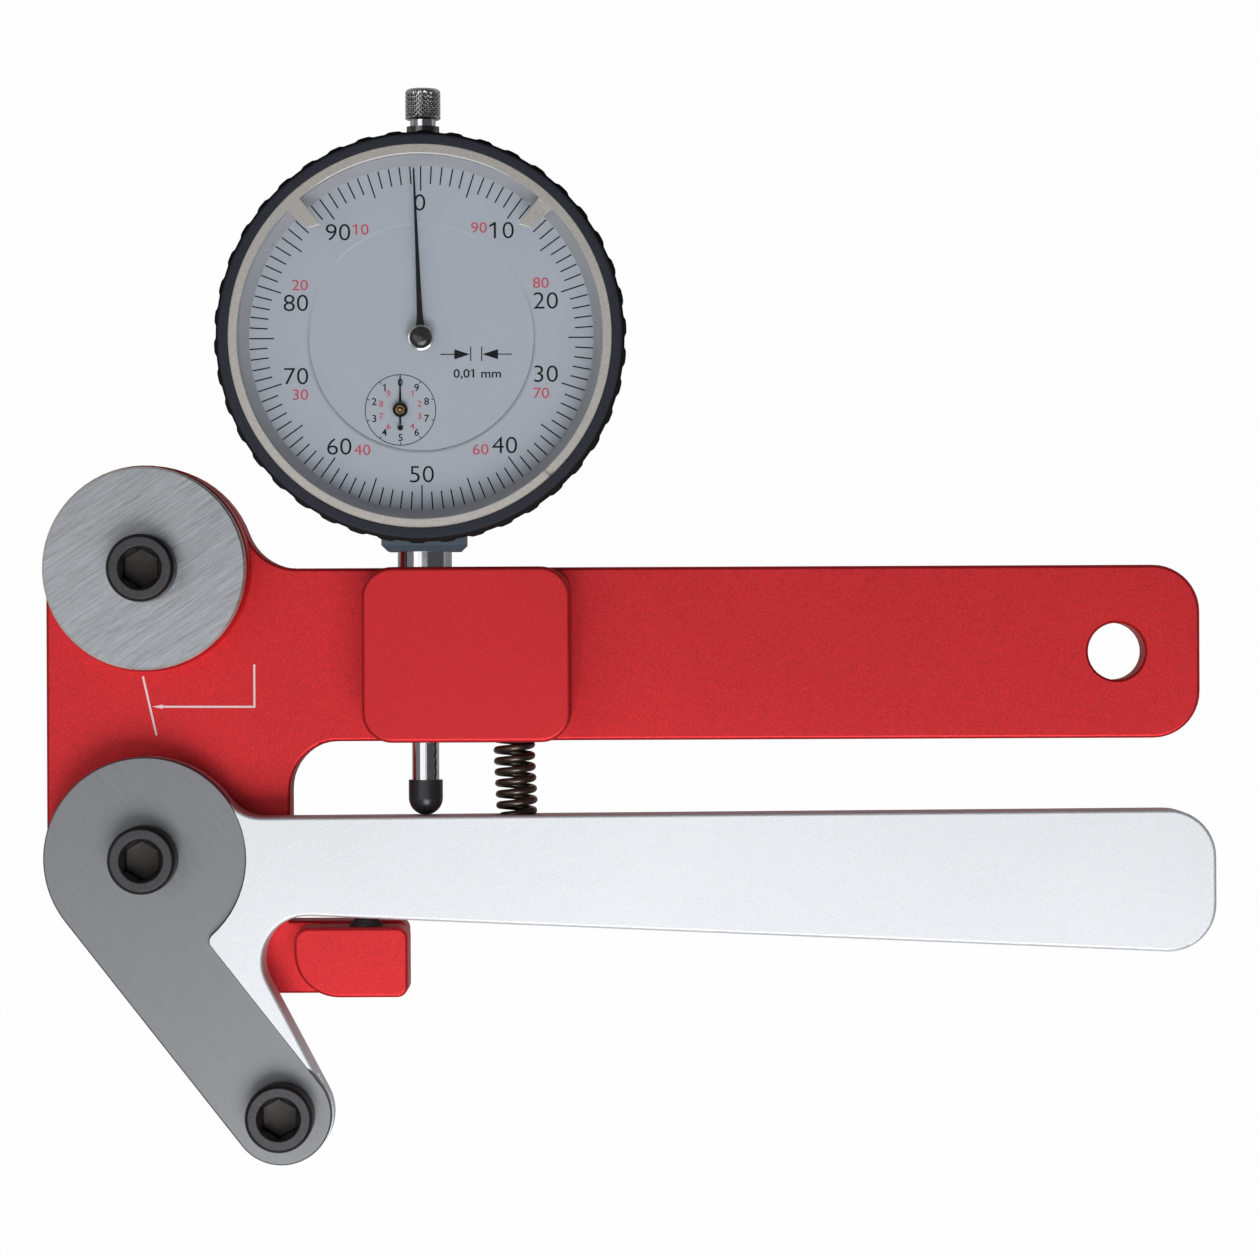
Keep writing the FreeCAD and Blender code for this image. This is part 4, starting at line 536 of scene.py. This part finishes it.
# Painted shade: the head's chamfers, side and socket, everything under its flat top, are painted darker
# than the top.
two_tone(post_oxide_painted_shade, (0.026, 0.023, 0.022), POST_FACE + HEAD_HEIGHT - 0.07, 0.04)
spring_wire = finish("spring_wire", GRAIN, (0.11, 0.088, 0.072),
                     {"Spread": 0.9, "Roughness": 0.30, "Depth": 0.12, "Scale": 1200.0}, Metallic=0.85)
turned_steel = finish("turned_steel", RINGS, (0.60, 0.60, 0.61),
                      {"Spread": 0.2, "Roughness": 0.3, "Depth": 0.2}, Metallic=1.0)
bronze = finish("bronze", RINGS, (0.62, 0.42, 0.22),
                {"Spread": 0.2, "Roughness": 0.35, "Depth": 0.2}, Metallic=1.0)
chrome = finish("chrome", GRAIN, (0.72, 0.72, 0.74),
                {"Spread": 0.10, "Roughness": 0.09, "Depth": 0.02, "Scale": 1500.0}, Metallic=1.0)
dark_nickel = finish("dark_nickel", GRAIN, (0.16, 0.16, 0.165),
                     {"Spread": 0.3, "Roughness": 0.22, "Depth": 0.05, "Scale": 2500.0}, Metallic=1.0)
knob_chrome = finish("knob_chrome", GRAIN, (0.62, 0.61, 0.60),
                     {"Spread": 0.25, "Roughness": 0.15, "Depth": 0.05, "Scale": 2500.0}, Metallic=1.0)
case_enamel = finish("case_enamel", GRAIN, (0.085, 0.115, 0.150),
                     {"Spread": 0.25, "Roughness": 0.33, "Depth": 0.10, "Scale": 900.0}, Metallic=0.0)
bezel_plastic = finish("bezel_plastic", GRAIN, (0.045, 0.048, 0.062),
                       {"Spread": 0.35, "Roughness": 0.60, "Depth": 0.25, "Scale": 2200.0}, Metallic=0.0,
                       Specular_IOR_Level=0.0)
two_tone(bezel_plastic, (0.022, 0.021, 0.021), BEZEL_FRONT - 0.46, 0.25)
cap_plastic = finish("cap_plastic", GRAIN, (0.022, 0.023, 0.027),
                     {"Spread": 0.3, "Roughness": 0.30, "Depth": 0.10, "Scale": 1800.0}, Metallic=0.0)
lower_marker_sheet = edged_sheet("lower_marker_sheet", LOWER_RING_TOP)
upper_marker_sheet = edged_sheet("upper_marker_sheet", UPPER_RING_TOP)
dial_paint = finish("dial_paint", GRAIN, (0.308, 0.330, 0.374),
                    {"Spread": 0.05, "Roughness": 0.6, "Depth": 0.03, "Scale": 1500.0}, Metallic=0.0)
retainer_plastic = finish("retainer_plastic", GRAIN, (0.300, 0.305, 0.325),
                          {"Spread": 0.08, "Roughness": 0.3, "Depth": 0.05, "Scale": 1500.0}, Metallic=0.0)
GAUGE_AXIS = (GAUGE[0] * MM, GAUGE[1] * MM, 0.0)
brass = finish("brass", RINGS, (0.42, 0.29, 0.11),
               {"Centre": GAUGE_AXIS, "Spread": 0.15, "Roughness": 0.28, "Depth": 0.2}, Metallic=1.0)
# Painted shade: the brass is painted dark below a level just under the collet's top, so that the collet's
# side and the recess round its centre dot look shaded.
two_tone(brass, (0.06, 0.035, 0.015), COUNTER_HAND_BACK + 0.57, 0.04)
hub_painted_highlight_and_shade = finish("hub_painted_highlight_and_shade", RINGS, (0.060, 0.056, 0.054),
                   {"Centre": GAUGE_AXIS, "Spread": 0.2, "Roughness": 0.22, "Depth": 0.1}, Metallic=1.0)
# Painted highlight and painted reflection: the hub's flange is painted bright so that its slope shows a
# highlight, and the dome above it is painted dark as a dark reflection.
two_tone(hub_painted_highlight_and_shade, (0.62, 0.61, 0.60), MAIN_HAND_BACK + FLANGE_RISE, 0.02)
hand_lacquer = finish("hand_lacquer", GRAIN, (0.008, 0.008, 0.009),
                      {"Spread": 0.2, "Roughness": 0.5, "Depth": 0.0, "Scale": 2500.0}, Metallic=0.0,
                      Specular_IOR_Level=0.0)
black_ink = finish("black_ink", GRAIN, (0.006, 0.006, 0.007),
                   {"Spread": 0.1, "Roughness": 0.7, "Depth": 0.0, "Scale": 4000.0}, Metallic=0.0,
                   Specular_IOR_Level=0.0)
red_ink = finish("red_ink", GRAIN, (0.44, 0.060, 0.080),
                 {"Spread": 0.1, "Roughness": 0.7, "Depth": 0.0, "Scale": 4000.0}, Metallic=0.0,
                 Specular_IOR_Level=0.0)
engraving = finish("engraving", GRAIN, (0.92, 0.78, 0.80),
                   {"Spread": 0.25, "Roughness": 0.6, "Depth": 0.4, "Scale": 4000.0}, Metallic=0.3)
window_glass = clear_window("clear_window")

FINISH_OF_SLOT = {
    "red_anodised": red_anodised, "bare_aluminium": bare_aluminium, "ground_steel_light": ground_disc_painted_rim,
    "ground_steel_dark": ground_plate, "black_oxide": black_oxide, "spring_steel": spring_wire,
    "hard_steel": turned_steel, "bronze": bronze, "chrome": chrome, "case_enamel": case_enamel,
    "bezel_black": bezel_plastic, "cap_black": cap_plastic, "marker_silver": upper_marker_sheet,
    "dial_grey": dial_paint, "retainer_grey": retainer_plastic, "clear": window_glass, "brass": brass,
    "hand_black": hand_lacquer,
}
FINISH_OF_NODE = {"upper_bush": dark_nickel, "lower_tolerance_ring": lower_marker_sheet}
for entry in frame["record"]["subparts"]:
    node_finish = FINISH_OF_NODE.get(entry["node"], FINISH_OF_SLOT[entry["material_slot"]])
    for holder in frame["nodes"][entry["node"]].material_slots:
        holder.material = node_finish


# ------------------------------------------------------------------ spoke posts
def cap_screw(name, x, y, body):
    """Socket cap screw. Its outside is a profile turned about Z. Its socket is the same grid carried on
    inwards, where the radius goes over from a circle to a hexagon: half the flats divided by the cosine
    of the angle from the nearest flat's middle."""
    tip, top = reach(name)[0][2], reach(name)[1][2]
    seat = top - HEAD_HEIGHT
    rows = np.array([
        # radius, height, share of hexagon
        (0.0, tip, 0), (2.6, tip, 0), (3.0, tip + 0.4, 0), (3.0, seat, 0), (4.8, seat, 0),
        (4.95, seat + 0.15, 0), (4.95, seat + 0.5, 0), (5.0, seat + 0.55, 0), (5.0, top - 0.75, 0),
        (4.96, top - 0.55, 0), (4.86, top - 0.38, 0), (4.56, top - 0.04, 0), (4.48, top, 0), (4.44, top, 0),
        (3.38, top, 0), (3.34, top, 0), (3.28, top - 0.03, 0), (2.98, top - 0.32, 0),
        (2.76, top - 0.46, 0.4), (2.50, top - 0.66, 1), (2.50, top - 3.5, 1), (2.42, top - 3.6, 0.9),
        (1.9, top - 3.66, 0.4), (1.0, top - 3.72, 0), (0.0, top - 3.75, 0)])
    columns = 144
    from_flat = (angles(columns) + TURN / 12) % (TURN / 6) - TURN / 12
    swell = rows[:, :1] * (1.0 / np.cos(from_flat) - 1.0) * rows[:, 2:3]
    points = turned_points(rows[:, :2], columns, swell)
    mesh = mesh_of(name, shifted(points, x, y), grid_quads(len(rows), columns, wrap_columns=True), sharp=28)
    add_piece(name + "_head", mesh, body, post_oxide_painted_shade, (name,))


cap_screw("upper_post_screw", 0.0, POST_SPAN, "frame")
cap_screw("pivot_post_screw", 0.0, 0.0, "frame")
cap_screw("lower_post_screw", *LOWER_POST, "squeeze_lever")


# ------------------------------------------------------------------ return spring
def return_coil():
    """Wire wound about a line along Y: the wire's middle goes round at a fixed distance while it climbs
    by one pitch a turn, less at both ends, and each ring of the tube stands across the wire's direction.
    Further down, the line leans a little to the right, back to straight at its foot, and the turns inside
    the lever's pocket are narrower, to clear it as it tilts."""
    wire_low, wire_high = 3.82, 26.66
    seat_low, seat_high = 3.30, 27.0
    wire_radius = 0.525
    coil_radius, less_in_pocket = 2.575, 0.62
    turns, steps_per_turn, first_angle = 14.6, 34, 0.6
    end_pace, end_share = 0.62, 0.10
    lean, lean_from, lean_to = 0.42, 17.5, 5.0
    straight_from, straight_to = 7.0, 5.2
    narrow_from, narrow_to = 7.2, 5.6
    sides = 14
    count = int(turns * steps_per_turn) + 1
    share = np.linspace(0.0, 1.0, count)
    full = smooth_step(0.0, end_share, share) * smooth_step(0.0, end_share, 1.0 - share)
    pace = end_pace + (1.0 - end_pace) * full
    climb = np.concatenate([[0.0], np.cumsum((pace[1:] + pace[:-1]) / 2)])
    y = wire_low + (wire_high - wire_low) * climb / climb[-1]
    leaning = smooth_step(lean_from, lean_to, y) * smooth_step(straight_to, straight_from, y)
    line = centre_of("return_spring")[0] - 0.1 + lean * leaning
    radius = coil_radius - less_in_pocket * smooth_step(narrow_from, narrow_to, y)
    angle = first_angle - share * turns * TURN
    wire_middle = np.stack([line + radius * np.cos(angle), y, STEM_Z + radius * np.sin(angle)], axis=-1)
    ahead = np.gradient(wire_middle, axis=0)
    ahead /= np.linalg.norm(ahead, axis=-1, keepdims=True)
    out = np.stack([np.cos(angle), 0 * angle, np.sin(angle)], axis=-1)
    out -= ahead * np.sum(out * ahead, axis=-1, keepdims=True)
    out /= np.linalg.norm(out, axis=-1, keepdims=True)
    across = np.cross(ahead, out)
    around = angles(sides)[None, :, None]
    size = np.full(count, wire_radius)
    size[[0, -1]] = 0.0
    ring = out[:, None, :] * np.cos(around) + across[:, None, :] * np.sin(around)
    points = wire_middle[:, None, :] + ring * size[:, None, None]
    points[:, :, 1] = np.clip(points[:, :, 1], seat_low, seat_high)
    mesh = mesh_of("return_coil", points, grid_quads(count, sides, wrap_columns=True), sharp=60)
    coil = add_piece("return_coil", mesh, "frame", spring_wire, ("return_spring",))
    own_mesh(coil)


return_coil()


# ------------------------------------------------------------------ gauge shell
def ribbed_bezel():
    """Ring turned about the dial's axis. Where the profile carries ribs, the radius grows by the rib's
    height times a lobe: the angle runs through equal steps, and the lobe rises smoothly, stays and falls
    smoothly over the first part of each, a little lower at its ends than at its middle."""
    rows = np.array([
        # radius, height, share of rib
        (27.3, 18.8, 0), (29.2, 18.8, 0), (29.55, 18.95, 0), (29.7, 19.3, 0), (29.7, 19.85, 0),
        (29.7, 20.15, 0.55), (29.7, 20.5, 0.95), (29.7, 21.0, 1), (29.7, 25.1, 1), (29.7, 25.6, 0.94),
        (29.69, 25.95, 0.7), (29.66, 26.25, 0.3), (29.60, 26.5, 0.05), (29.52, 26.8, 0), (29.42, 27.05, 0),
        (29.28, 27.28, 0), (29.16, 27.40, 0), (29.02, 27.48, 0), (28.9, 27.50, 0), (28.06, 27.55, 0),
        (27.98, 27.55, 0), (27.87, 27.50, 0), (27.85, 27.42, 0), (27.85, 27.31, 0), (28.0, 27.31, 0),
        (28.0, 26.05, 0), (27.2, 26.05, 0), (27.2, 21.05, 0), (25.6, 21.05, 0), (25.6, 20.4, 0),
        (27.3, 20.4, 0)])
    ribs, columns_per_rib = 42, 18
    rib_height, rib_share, slope_share, end_height = 0.3, 0.66, 0.17, 0.86
    columns = ribs * columns_per_rib
    step = (np.arange(columns) / columns_per_rib) % 1.0
    lobe = smooth_step(0.0, slope_share, step) * smooth_step(0.0, slope_share, rib_share - step)
    crown = end_height + (1 - end_height) * np.sin(np.clip(step / rib_share, 0, 1) * TURN / 2)
    points = turned_points(rows[:, :2], columns, rib_height * rows[:, 2:3] * lobe * crown)
    mesh = mesh_of("ribbed_bezel", shifted(points, *GAUGE),
                   grid_quads(len(rows), columns, wrap_rows=True, wrap_columns=True), sharp=40)
    add_piece("ribbed_bezel", mesh, "bezel_group", bezel_plastic, ("bezel",))


def knurled_knob():
    """Knob turned about the spindle, with a quarter round at its end. Two families of slanting grooves
    cross on its side: the radius drops by the larger of two tent waves, one of the angle plus the height
    and one of the angle less the height."""
    low, high = reach("lifting_knob")[0][1], reach("lifting_knob")[1][1]
    neck, round_size, side = 1.2, 0.8, 2.65
    grooves, columns_per_groove, groove_depth, groove_slant = 22, 12, 0.22, 1.55
    quarter_round = high - round_size + round_size * np.sin(np.linspace(0.08, 1.0, 9) * TURN / 4)
    heights = np.concatenate([[low, low, low + 0.10, low + 0.25], np.linspace(low + 0.3, high - 0.85, 70),
                              quarter_round, [high, high]])
    cap = np.clip((heights - (high - round_size)) / round_size, 0, 1)
    radii = side - round_size + round_size * np.sqrt(np.clip(1 - cap ** 2, 0, 1))
    radii[:4] = (neck, 2.35, 2.52, side)
    radii[-2:] = (neck, 0.0)
    share = smooth_step(low + 0.2, low + 0.45, heights) * smooth_step(high - 0.35, high - 0.8, heights)
    columns = grooves * columns_per_groove
    angle = angles(columns)
    run = angle[None, :] * grooves / TURN
    rise = (heights[:, None] - low) * groove_slant
    groove = np.maximum(tent(run + rise), tent(run - rise))
    radius = radii[:, None] - groove_depth * share[:, None] * groove
    points = np.stack([radius * np.cos(angle), np.repeat(heights[:, None], columns, 1),
                       -radius * np.sin(angle)], axis=-1)
    mesh = mesh_of("knurled_knob", shifted(points, GAUGE[0], 0, STEM_Z),
                   grid_quads(len(heights), columns, wrap_columns=True), sharp=50)
    add_piece("knurled_knob", mesh, "plunger", knob_chrome, ("lifting_knob",))


ribbed_bezel()
knurled_knob()


# ------------------------------------------------------------------ dial
def division_lines():
    """A hundred lines, each from an inner radius to the same outer one along its own angle, longer at
    every fifth."""
    number = np.arange(100)
    outer = 25.12
    inner = np.where(number % 5 == 0, 21.5, 22.5)
    half_line = 0.1
    way = directions(TURN / 4 - number * TURN / 100)
    ends = np.stack([way * inner[:, None], way * outer], axis=1)
    return flat_lines(ends, half_line, DIAL_FRONT + PRINT_RISE)


def outer_dial():
    """Division lines and the two rows of tens, which turn with the bezel. Each number's place is counted
    from the dial's centre."""
    level = DIAL_FRONT + PRINT_RISE
    black = {"0": (-0.15, 19.8), "10": (11.8, 15.7), "20": (18.2, 5.4), "30": (18.2, -5.3),
             "40": (12.1, -15.7), "50": (0.0, -19.9), "60": (-12.05, -15.8), "70": (-18.3, -5.5),
             "80": (-18.3, 5.2), "90": (-12.1, 15.5)}
    red = {"90": (8.5, 16.1), "80": (17.5, 8.0), "70": (17.5, -8.1), "60": (8.6, -16.3),
           "40": (-8.7, -16.3), "30": (-17.7, -8.2), "20": (-17.7, 7.8), "10": (-8.8, 15.9)}
    numbers = [lettering(text, 2.48, place, level, 1.10, -0.007) for text, place in black.items()]
    add_print("outer_dial_black", [division_lines()] + numbers, "bezel_group", black_ink)
    numbers = [lettering(text, 1.55, place, level, 1.12, 0.0) for text, place in red.items()]
    add_print("outer_dial_red", numbers, "bezel_group", red_ink)


def graduation_mark(level):
    """Two upright lines with an arrow towards each from its outer side, and the value of one division
    under them."""
    row, lines_at, half_height, half_head = -2.4, (7.2, 8.8), 1.0, 0.75
    shafts = [[(2.76, row), (5.0, row)], [(11.0, row), (13.2, row)]]
    uprights = [[(x, row + half_height + 0.1), (x, row - half_height)] for x in lines_at]
    heads = [(4.8, row + half_head, level), (4.8, row - half_head, level), (7.1, row, level),
             (11.2, row - half_head, level), (11.2, row + half_head, level), (8.9, row, level)]
    return [flat_lines(shafts + uprights, 0.08, level), (heads, [(0, 1, 2), (3, 4, 5)]),
            lettering("0,01 mm", 1.25, (8.15, -5.3), level, 1.12, 0.012)]


def inner_dial_print():
    """Turn counter and graduation mark on the fixed middle of the dial. The counter's figures stand on
    two circles about its arbor, a tenth of a turn apart."""
    level = INNER_DIAL_FRONT + PRINT_RISE
    ring, tick_start, black_circle, red_circle = 5.15, 4.72, 4.03, 2.95
    half_line = 0.06
    way = directions(angles(10) + TURN / 4)
    ticks = np.stack([COUNTER + way * tick_start, COUNTER + way * ring], axis=1)
    circle = flat_ring(ring - half_line, ring + half_line, *COUNTER, level, 128)
    parts = [circle, flat_lines(ticks, half_line, level)]
    black_at, red_at = COUNTER + way * black_circle, COUNTER + way * red_circle
    parts += [lettering(str(k), 1.04, black_at[k], level, 1.05, 0.012) for k in range(10)]
    add_print("inner_dial_black", parts + graduation_mark(level), "frame", black_ink)
    places = (1, 2, 3, 4, 6, 7, 8, 9)
    parts = [lettering(str(10 - k), 0.9, red_at[k], level, 1.05, 0.006) for k in places]
    add_print("inner_dial_red", parts, "frame", red_ink)


def dial_joint():
    """Painted light over the joint between the two dials: a flat ring in the dial's colour covers the dark
    joint over the upper half, where the edge catches light, and its outer radius draws back smoothly from
    the top of the dial to its foot, where the joint shows as a thin dark line."""
    overlap, reach_over, draw_back, rise = 0.06, 0.097, 0.065, 0.008
    columns = 240
    down = -np.sin(angles(columns))
    outer = INNER_RADIUS + reach_over - draw_back * smooth_step(-0.70, 0.30, down)
    ring = flat_ring(INNER_RADIUS - overlap, outer, 0.0, 0.0, INNER_DIAL_FRONT + rise, columns)
    add_print("dial_joint", [ring], "frame", dial_paint)


# ------------------------------------------------------------------ hands
def flat_hand(name, stations, halves, low, high, lean, x, y, body, stands_for):
    """Flat hand along +Y: at each station along its length two edge points lie half the width to each
    side, once at the lower and once at the upper level, with the upper edges drawn in a little for a
    rounded rim."""
    stations = np.asarray(stations, float)
    halves = np.asarray(halves, float)
    rim = np.minimum(0.04, halves * 0.4)
    rim_level = low + 0.6 * (high - low)
    sides = 6
    across = np.stack([-halves, -halves, -(halves - rim), halves - rim, halves, halves], axis=-1)
    height = np.array([low, rim_level, high, high, rim_level, low])
    along = np.repeat(stations[:, None], sides, axis=1)
    c, s = math.cos(lean), math.sin(lean)
    points = np.stack([across * c - along * s, across * s + along * c, height + 0 * along], axis=-1)
    end = np.array([[0, 1, 2, 5], [2, 3, 4, 5]])
    faces = np.concatenate([grid_quads(len(stations), sides, wrap_columns=True), end,
                            end + (len(stations) - 1) * sides])
    mesh = mesh_of(name, shifted(points, x, y), faces, sharp=30)
    add_piece(name, mesh, body, hand_lacquer, stands_for)


def turned_hub(name, profile, x, y, base, body, material, slot):
    """Small turned hub from a profile of (radius, rise over a base level)."""
    columns = 72
    mesh = mesh_of(name, shifted(turned_points(profile, columns), x, y, base),
                   grid_quads(len(profile), columns, wrap_columns=True), sharp=38)
    add_piece(name, mesh, body, material)


def main_hand():
    """Long tapering blade, which flares at its domed hub. The hub has a shallow flange under a dome: the
    flange is painted bright, so that its slope shows a painted highlight, and the dome is painted dark as a
    dark reflection."""
    low, high = MAIN_HAND_BACK + 0.2, MAIN_HAND_BACK + 0.36
    lean = math.radians(2.25)
    stations = [0.0, 1.9, 2.6, 3.5, 6.0, 12.0, 18.0, 23.6, 24.5, 24.8]
    halves = [0.66, 0.62, 0.50, 0.42, 0.36, 0.27, 0.19, 0.13, 0.11, 0.04]
    flat_hand("main_blade", stations, halves, low, high, lean, *GAUGE, "centre_train", ("main_hand",))
    flange = [(0.0, 0.0), (1.80, 0.0), (1.92, 0.08), (1.92, 0.28), (1.88, 0.32), (1.87, 0.3235),
              (1.66, 0.3965), (1.65, FLANGE_RISE)]
    dome = [(1.62, 0.43), (1.60, 0.70), (1.48, 0.98), (1.22, 1.18), (0.86, 1.30), (0.50, 1.34),
            (0.44, 1.40), (0.22, 1.5), (0.0, 1.5)]
    turned_hub("main_hub", flange + dome, *GAUGE, MAIN_HAND_BACK, "centre_train", hub_painted_highlight_and_shade, "chrome")


def counter_hand():
    """Short blade with a drop-shaped tail, whose half width follows a half circle, a black boss and a
    brass collet round the end of its arbor."""
    x, y = GAUGE + COUNTER
    low, blade_thick = COUNTER_HAND_BACK, 0.15
    drop = np.linspace(-1.0, 1.0, 9)
    stations = np.concatenate([-2.62 + 0.42 * drop, [-1.95, -1.0, 0.0, 1.0, 3.0, 4.9, 5.0]])
    halves = np.concatenate([0.03 + 0.38 * np.sqrt(np.clip(1 - drop ** 2, 0, 1)),
                             [0.13, 0.15, 0.3, 0.2, 0.12, 0.08, 0.03]])
    flat_hand("counter_blade", stations, halves, low, low + blade_thick, 0.0, x, y, "counter_train",
              ("counter_hand",))
    boss = [(0.0, -0.08), (1.0, -0.08), (1.08, 0.0), (1.08, 0.22), (0.98, 0.32), (0.66, 0.34), (0.0, 0.34)]
    turned_hub("counter_boss", boss, x, y, low, "counter_train", hand_lacquer, "hand_black")
    collet = [(0.0, 0.3), (0.64, 0.3), (0.64, 0.58), (0.60, 0.64), (0.48, 0.64), (0.42, 0.54), (0.24, 0.54),
              (0.22, 0.62), (0.16, 0.66), (0.0, 0.66)]
    turned_hub("counter_collet", collet, x, y, low, "counter_train", brass, "brass")


outer_dial()
inner_dial_print()
dial_joint()
main_hand()
counter_hand()


# ------------------------------------------------------------------ engraved mark on the frame
def spoke_mark():
    """Line where the spoke crosses, and a line with a small arrow head that points at it."""
    level = PLATE_FRONT + PRINT_RISE
    lines = [[(-1.0, 26.8), (1.0, 18.0)], [(15.45, 22.2), (1.9, 22.27)], [(15.6, 22.06), (15.6, 28.5)]]
    head = [(0.35, 22.28, level), (1.9, 21.98, level), (1.9, 22.58, level)]
    add_print("spoke_mark", [flat_lines(lines, 0.15, level), (head, [(0, 1, 2)])], "frame", engraving,
              (0, 0))


spoke_mark()


# ------------------------------------------------------------------ stage, light and camera
def floor():
    """Wide pale floor under the tool, white to the eye and paler grey in reflections, with the tool's
    soft shadow. It is clear from below, so that the tool's back can be seen."""
    glow_to_the_eye, glow_in_gloss = 0.99, 0.2
    material, tree, shader = new_material("pale_floor")
    tree.nodes.remove(shader)
    matt = new_node(tree, "ShaderNodeBsdfDiffuse", Color=(0.35, 0.35, 0.35, 1))
    glow = new_node(tree, "ShaderNodeEmission", Color=(1, 1, 1, 1))
    clear = tree.nodes.new("ShaderNodeBsdfTransparent")
    path = tree.nodes.new("ShaderNodeLightPath").outputs
    below = tree.nodes.new("ShaderNodeNewGeometry").outputs["Backfacing"]
    direct = math_node(tree, "MAXIMUM", path["Is Camera Ray"], path["Is Transmission Ray"])
    seen = math_node(tree, "MAXIMUM", math_node(tree, "MULTIPLY", direct, glow_to_the_eye),
                     math_node(tree, "MULTIPLY", path["Is Glossy Ray"], glow_in_gloss))
    above = mix_shaders(tree, seen, matt.outputs[0], glow.outputs[0])
    tree.links.new(mix_shaders(tree, below, above, clear.outputs[0]),
                   tree.nodes["Material Output"].inputs["Surface"])
    half, drop = 3000.0, -0.05
    corners = [(-half, -half, drop), (half, -half, drop), (half, half, drop), (-half, half, drop)]
    mesh = mesh_of("pale_floor", corners, [(0, 1, 2, 3)])
    mesh.materials.append(material)
    holder = bpy.data.objects.new("pale_floor", mesh)
    bpy.context.scene.collection.objects.link(holder)


def world():
    """White to the eye, a quarter as white through the glass, dim and even as a light."""
    white_through_glass = 0.25
    surround = bpy.data.worlds.new("surround")
    bpy.context.scene.world = surround
    surround.use_nodes = True
    tree = surround.node_tree
    dim = tree.nodes["Background"]
    dim.inputs["Color"].default_value = (0.9, 0.95, 1.0, 1)
    dim.inputs["Strength"].default_value = 0.085
    white = new_node(tree, "ShaderNodeBackground", Color=(1, 1, 1, 1))
    path = tree.nodes.new("ShaderNodeLightPath").outputs
    seen = math_node(tree, "MAXIMUM", path["Is Camera Ray"],
                     math_node(tree, "MULTIPLY", path["Is Transmission Ray"], white_through_glass))
    tree.links.new(mix_shaders(tree, seen, dim.outputs[0], white.outputs[0]),
                   tree.nodes["World Output"].inputs["Surface"])


def softbox(name, place, aim, size, power, colour):
    """Square or oblong soft light that faces a point: its back axis runs from the point to its place, and
    its other two axes are the cross products with the way up."""
    lamp = bpy.data.lights.new(name, "AREA")
    lamp.shape = "RECTANGLE"
    lamp.size, lamp.size_y = size
    lamp.energy = power
    lamp.color = colour
    holder = bpy.data.objects.new(name, lamp)
    bpy.context.scene.collection.objects.link(holder)
    place, aim = np.array(place, float), np.array(aim, float)
    back = (place - aim) / np.linalg.norm(place - aim)
    up = np.array([0, 1, 0]) if abs(back[1]) < 0.9 else np.array([0, 0, 1])
    right = np.cross(up, back)
    right /= np.linalg.norm(right)
    matrix = np.eye(4)
    matrix[:3, :] = np.stack([right, np.cross(back, right), back, place], axis=1)
    holder.matrix_world = Matrix(matrix.tolist())
    holder.visible_camera = False


def camera():
    """Long lens straight above the tool, turned a quarter of a degree."""
    lens = bpy.data.cameras.new("overhead")
    lens.sensor_width = 36.0
    lens.lens = 136.02
    lens.clip_end = 20.0
    holder = bpy.data.objects.new("overhead", lens)
    bpy.context.scene.collection.objects.link(holder)
    holder.location = (0.07146, 0.03355, 0.7162)
    holder.rotation_euler = (0, 0, -math.radians(0.25))
    bpy.context.scene.camera = holder


floor()
world()
softbox("key", (0.16, -0.42, 0.80), (0.06, 0.03, 0.0), (0.55, 0.45), 4.6, (1.0, 0.99, 0.98))
softbox("above", (0.03, -0.42, 1.30), (0.03, -0.42, 0.0), (0.62, 0.96), 1.3, (0.92, 0.96, 1.0))
softbox("left_up", (-0.45, 0.05, 0.90), (0.06, 0.03, 0.0), (0.6, 0.5), 1.1, (1.0, 0.98, 0.96))
softbox("low_front", (0.07, -1.00, 0.17), (0.07, 0.0, 0.03), (1.4, 0.32), 0.95, (1.0, 0.97, 0.97))
softbox("left_side", (-0.74, 0.03, 0.50), (0.05, 0.03, 0.0), (1.1, 0.8), 0.35, (1.0, 0.96, 0.93))
softbox("below", (-0.30, -0.35, -1.10), (0.06, 0.03, 0.0), (0.8, 0.8), 2.5, (1.0, 1.0, 1.0))
camera()

scene = bpy.context.scene
scene.view_settings.view_transform = "Standard"
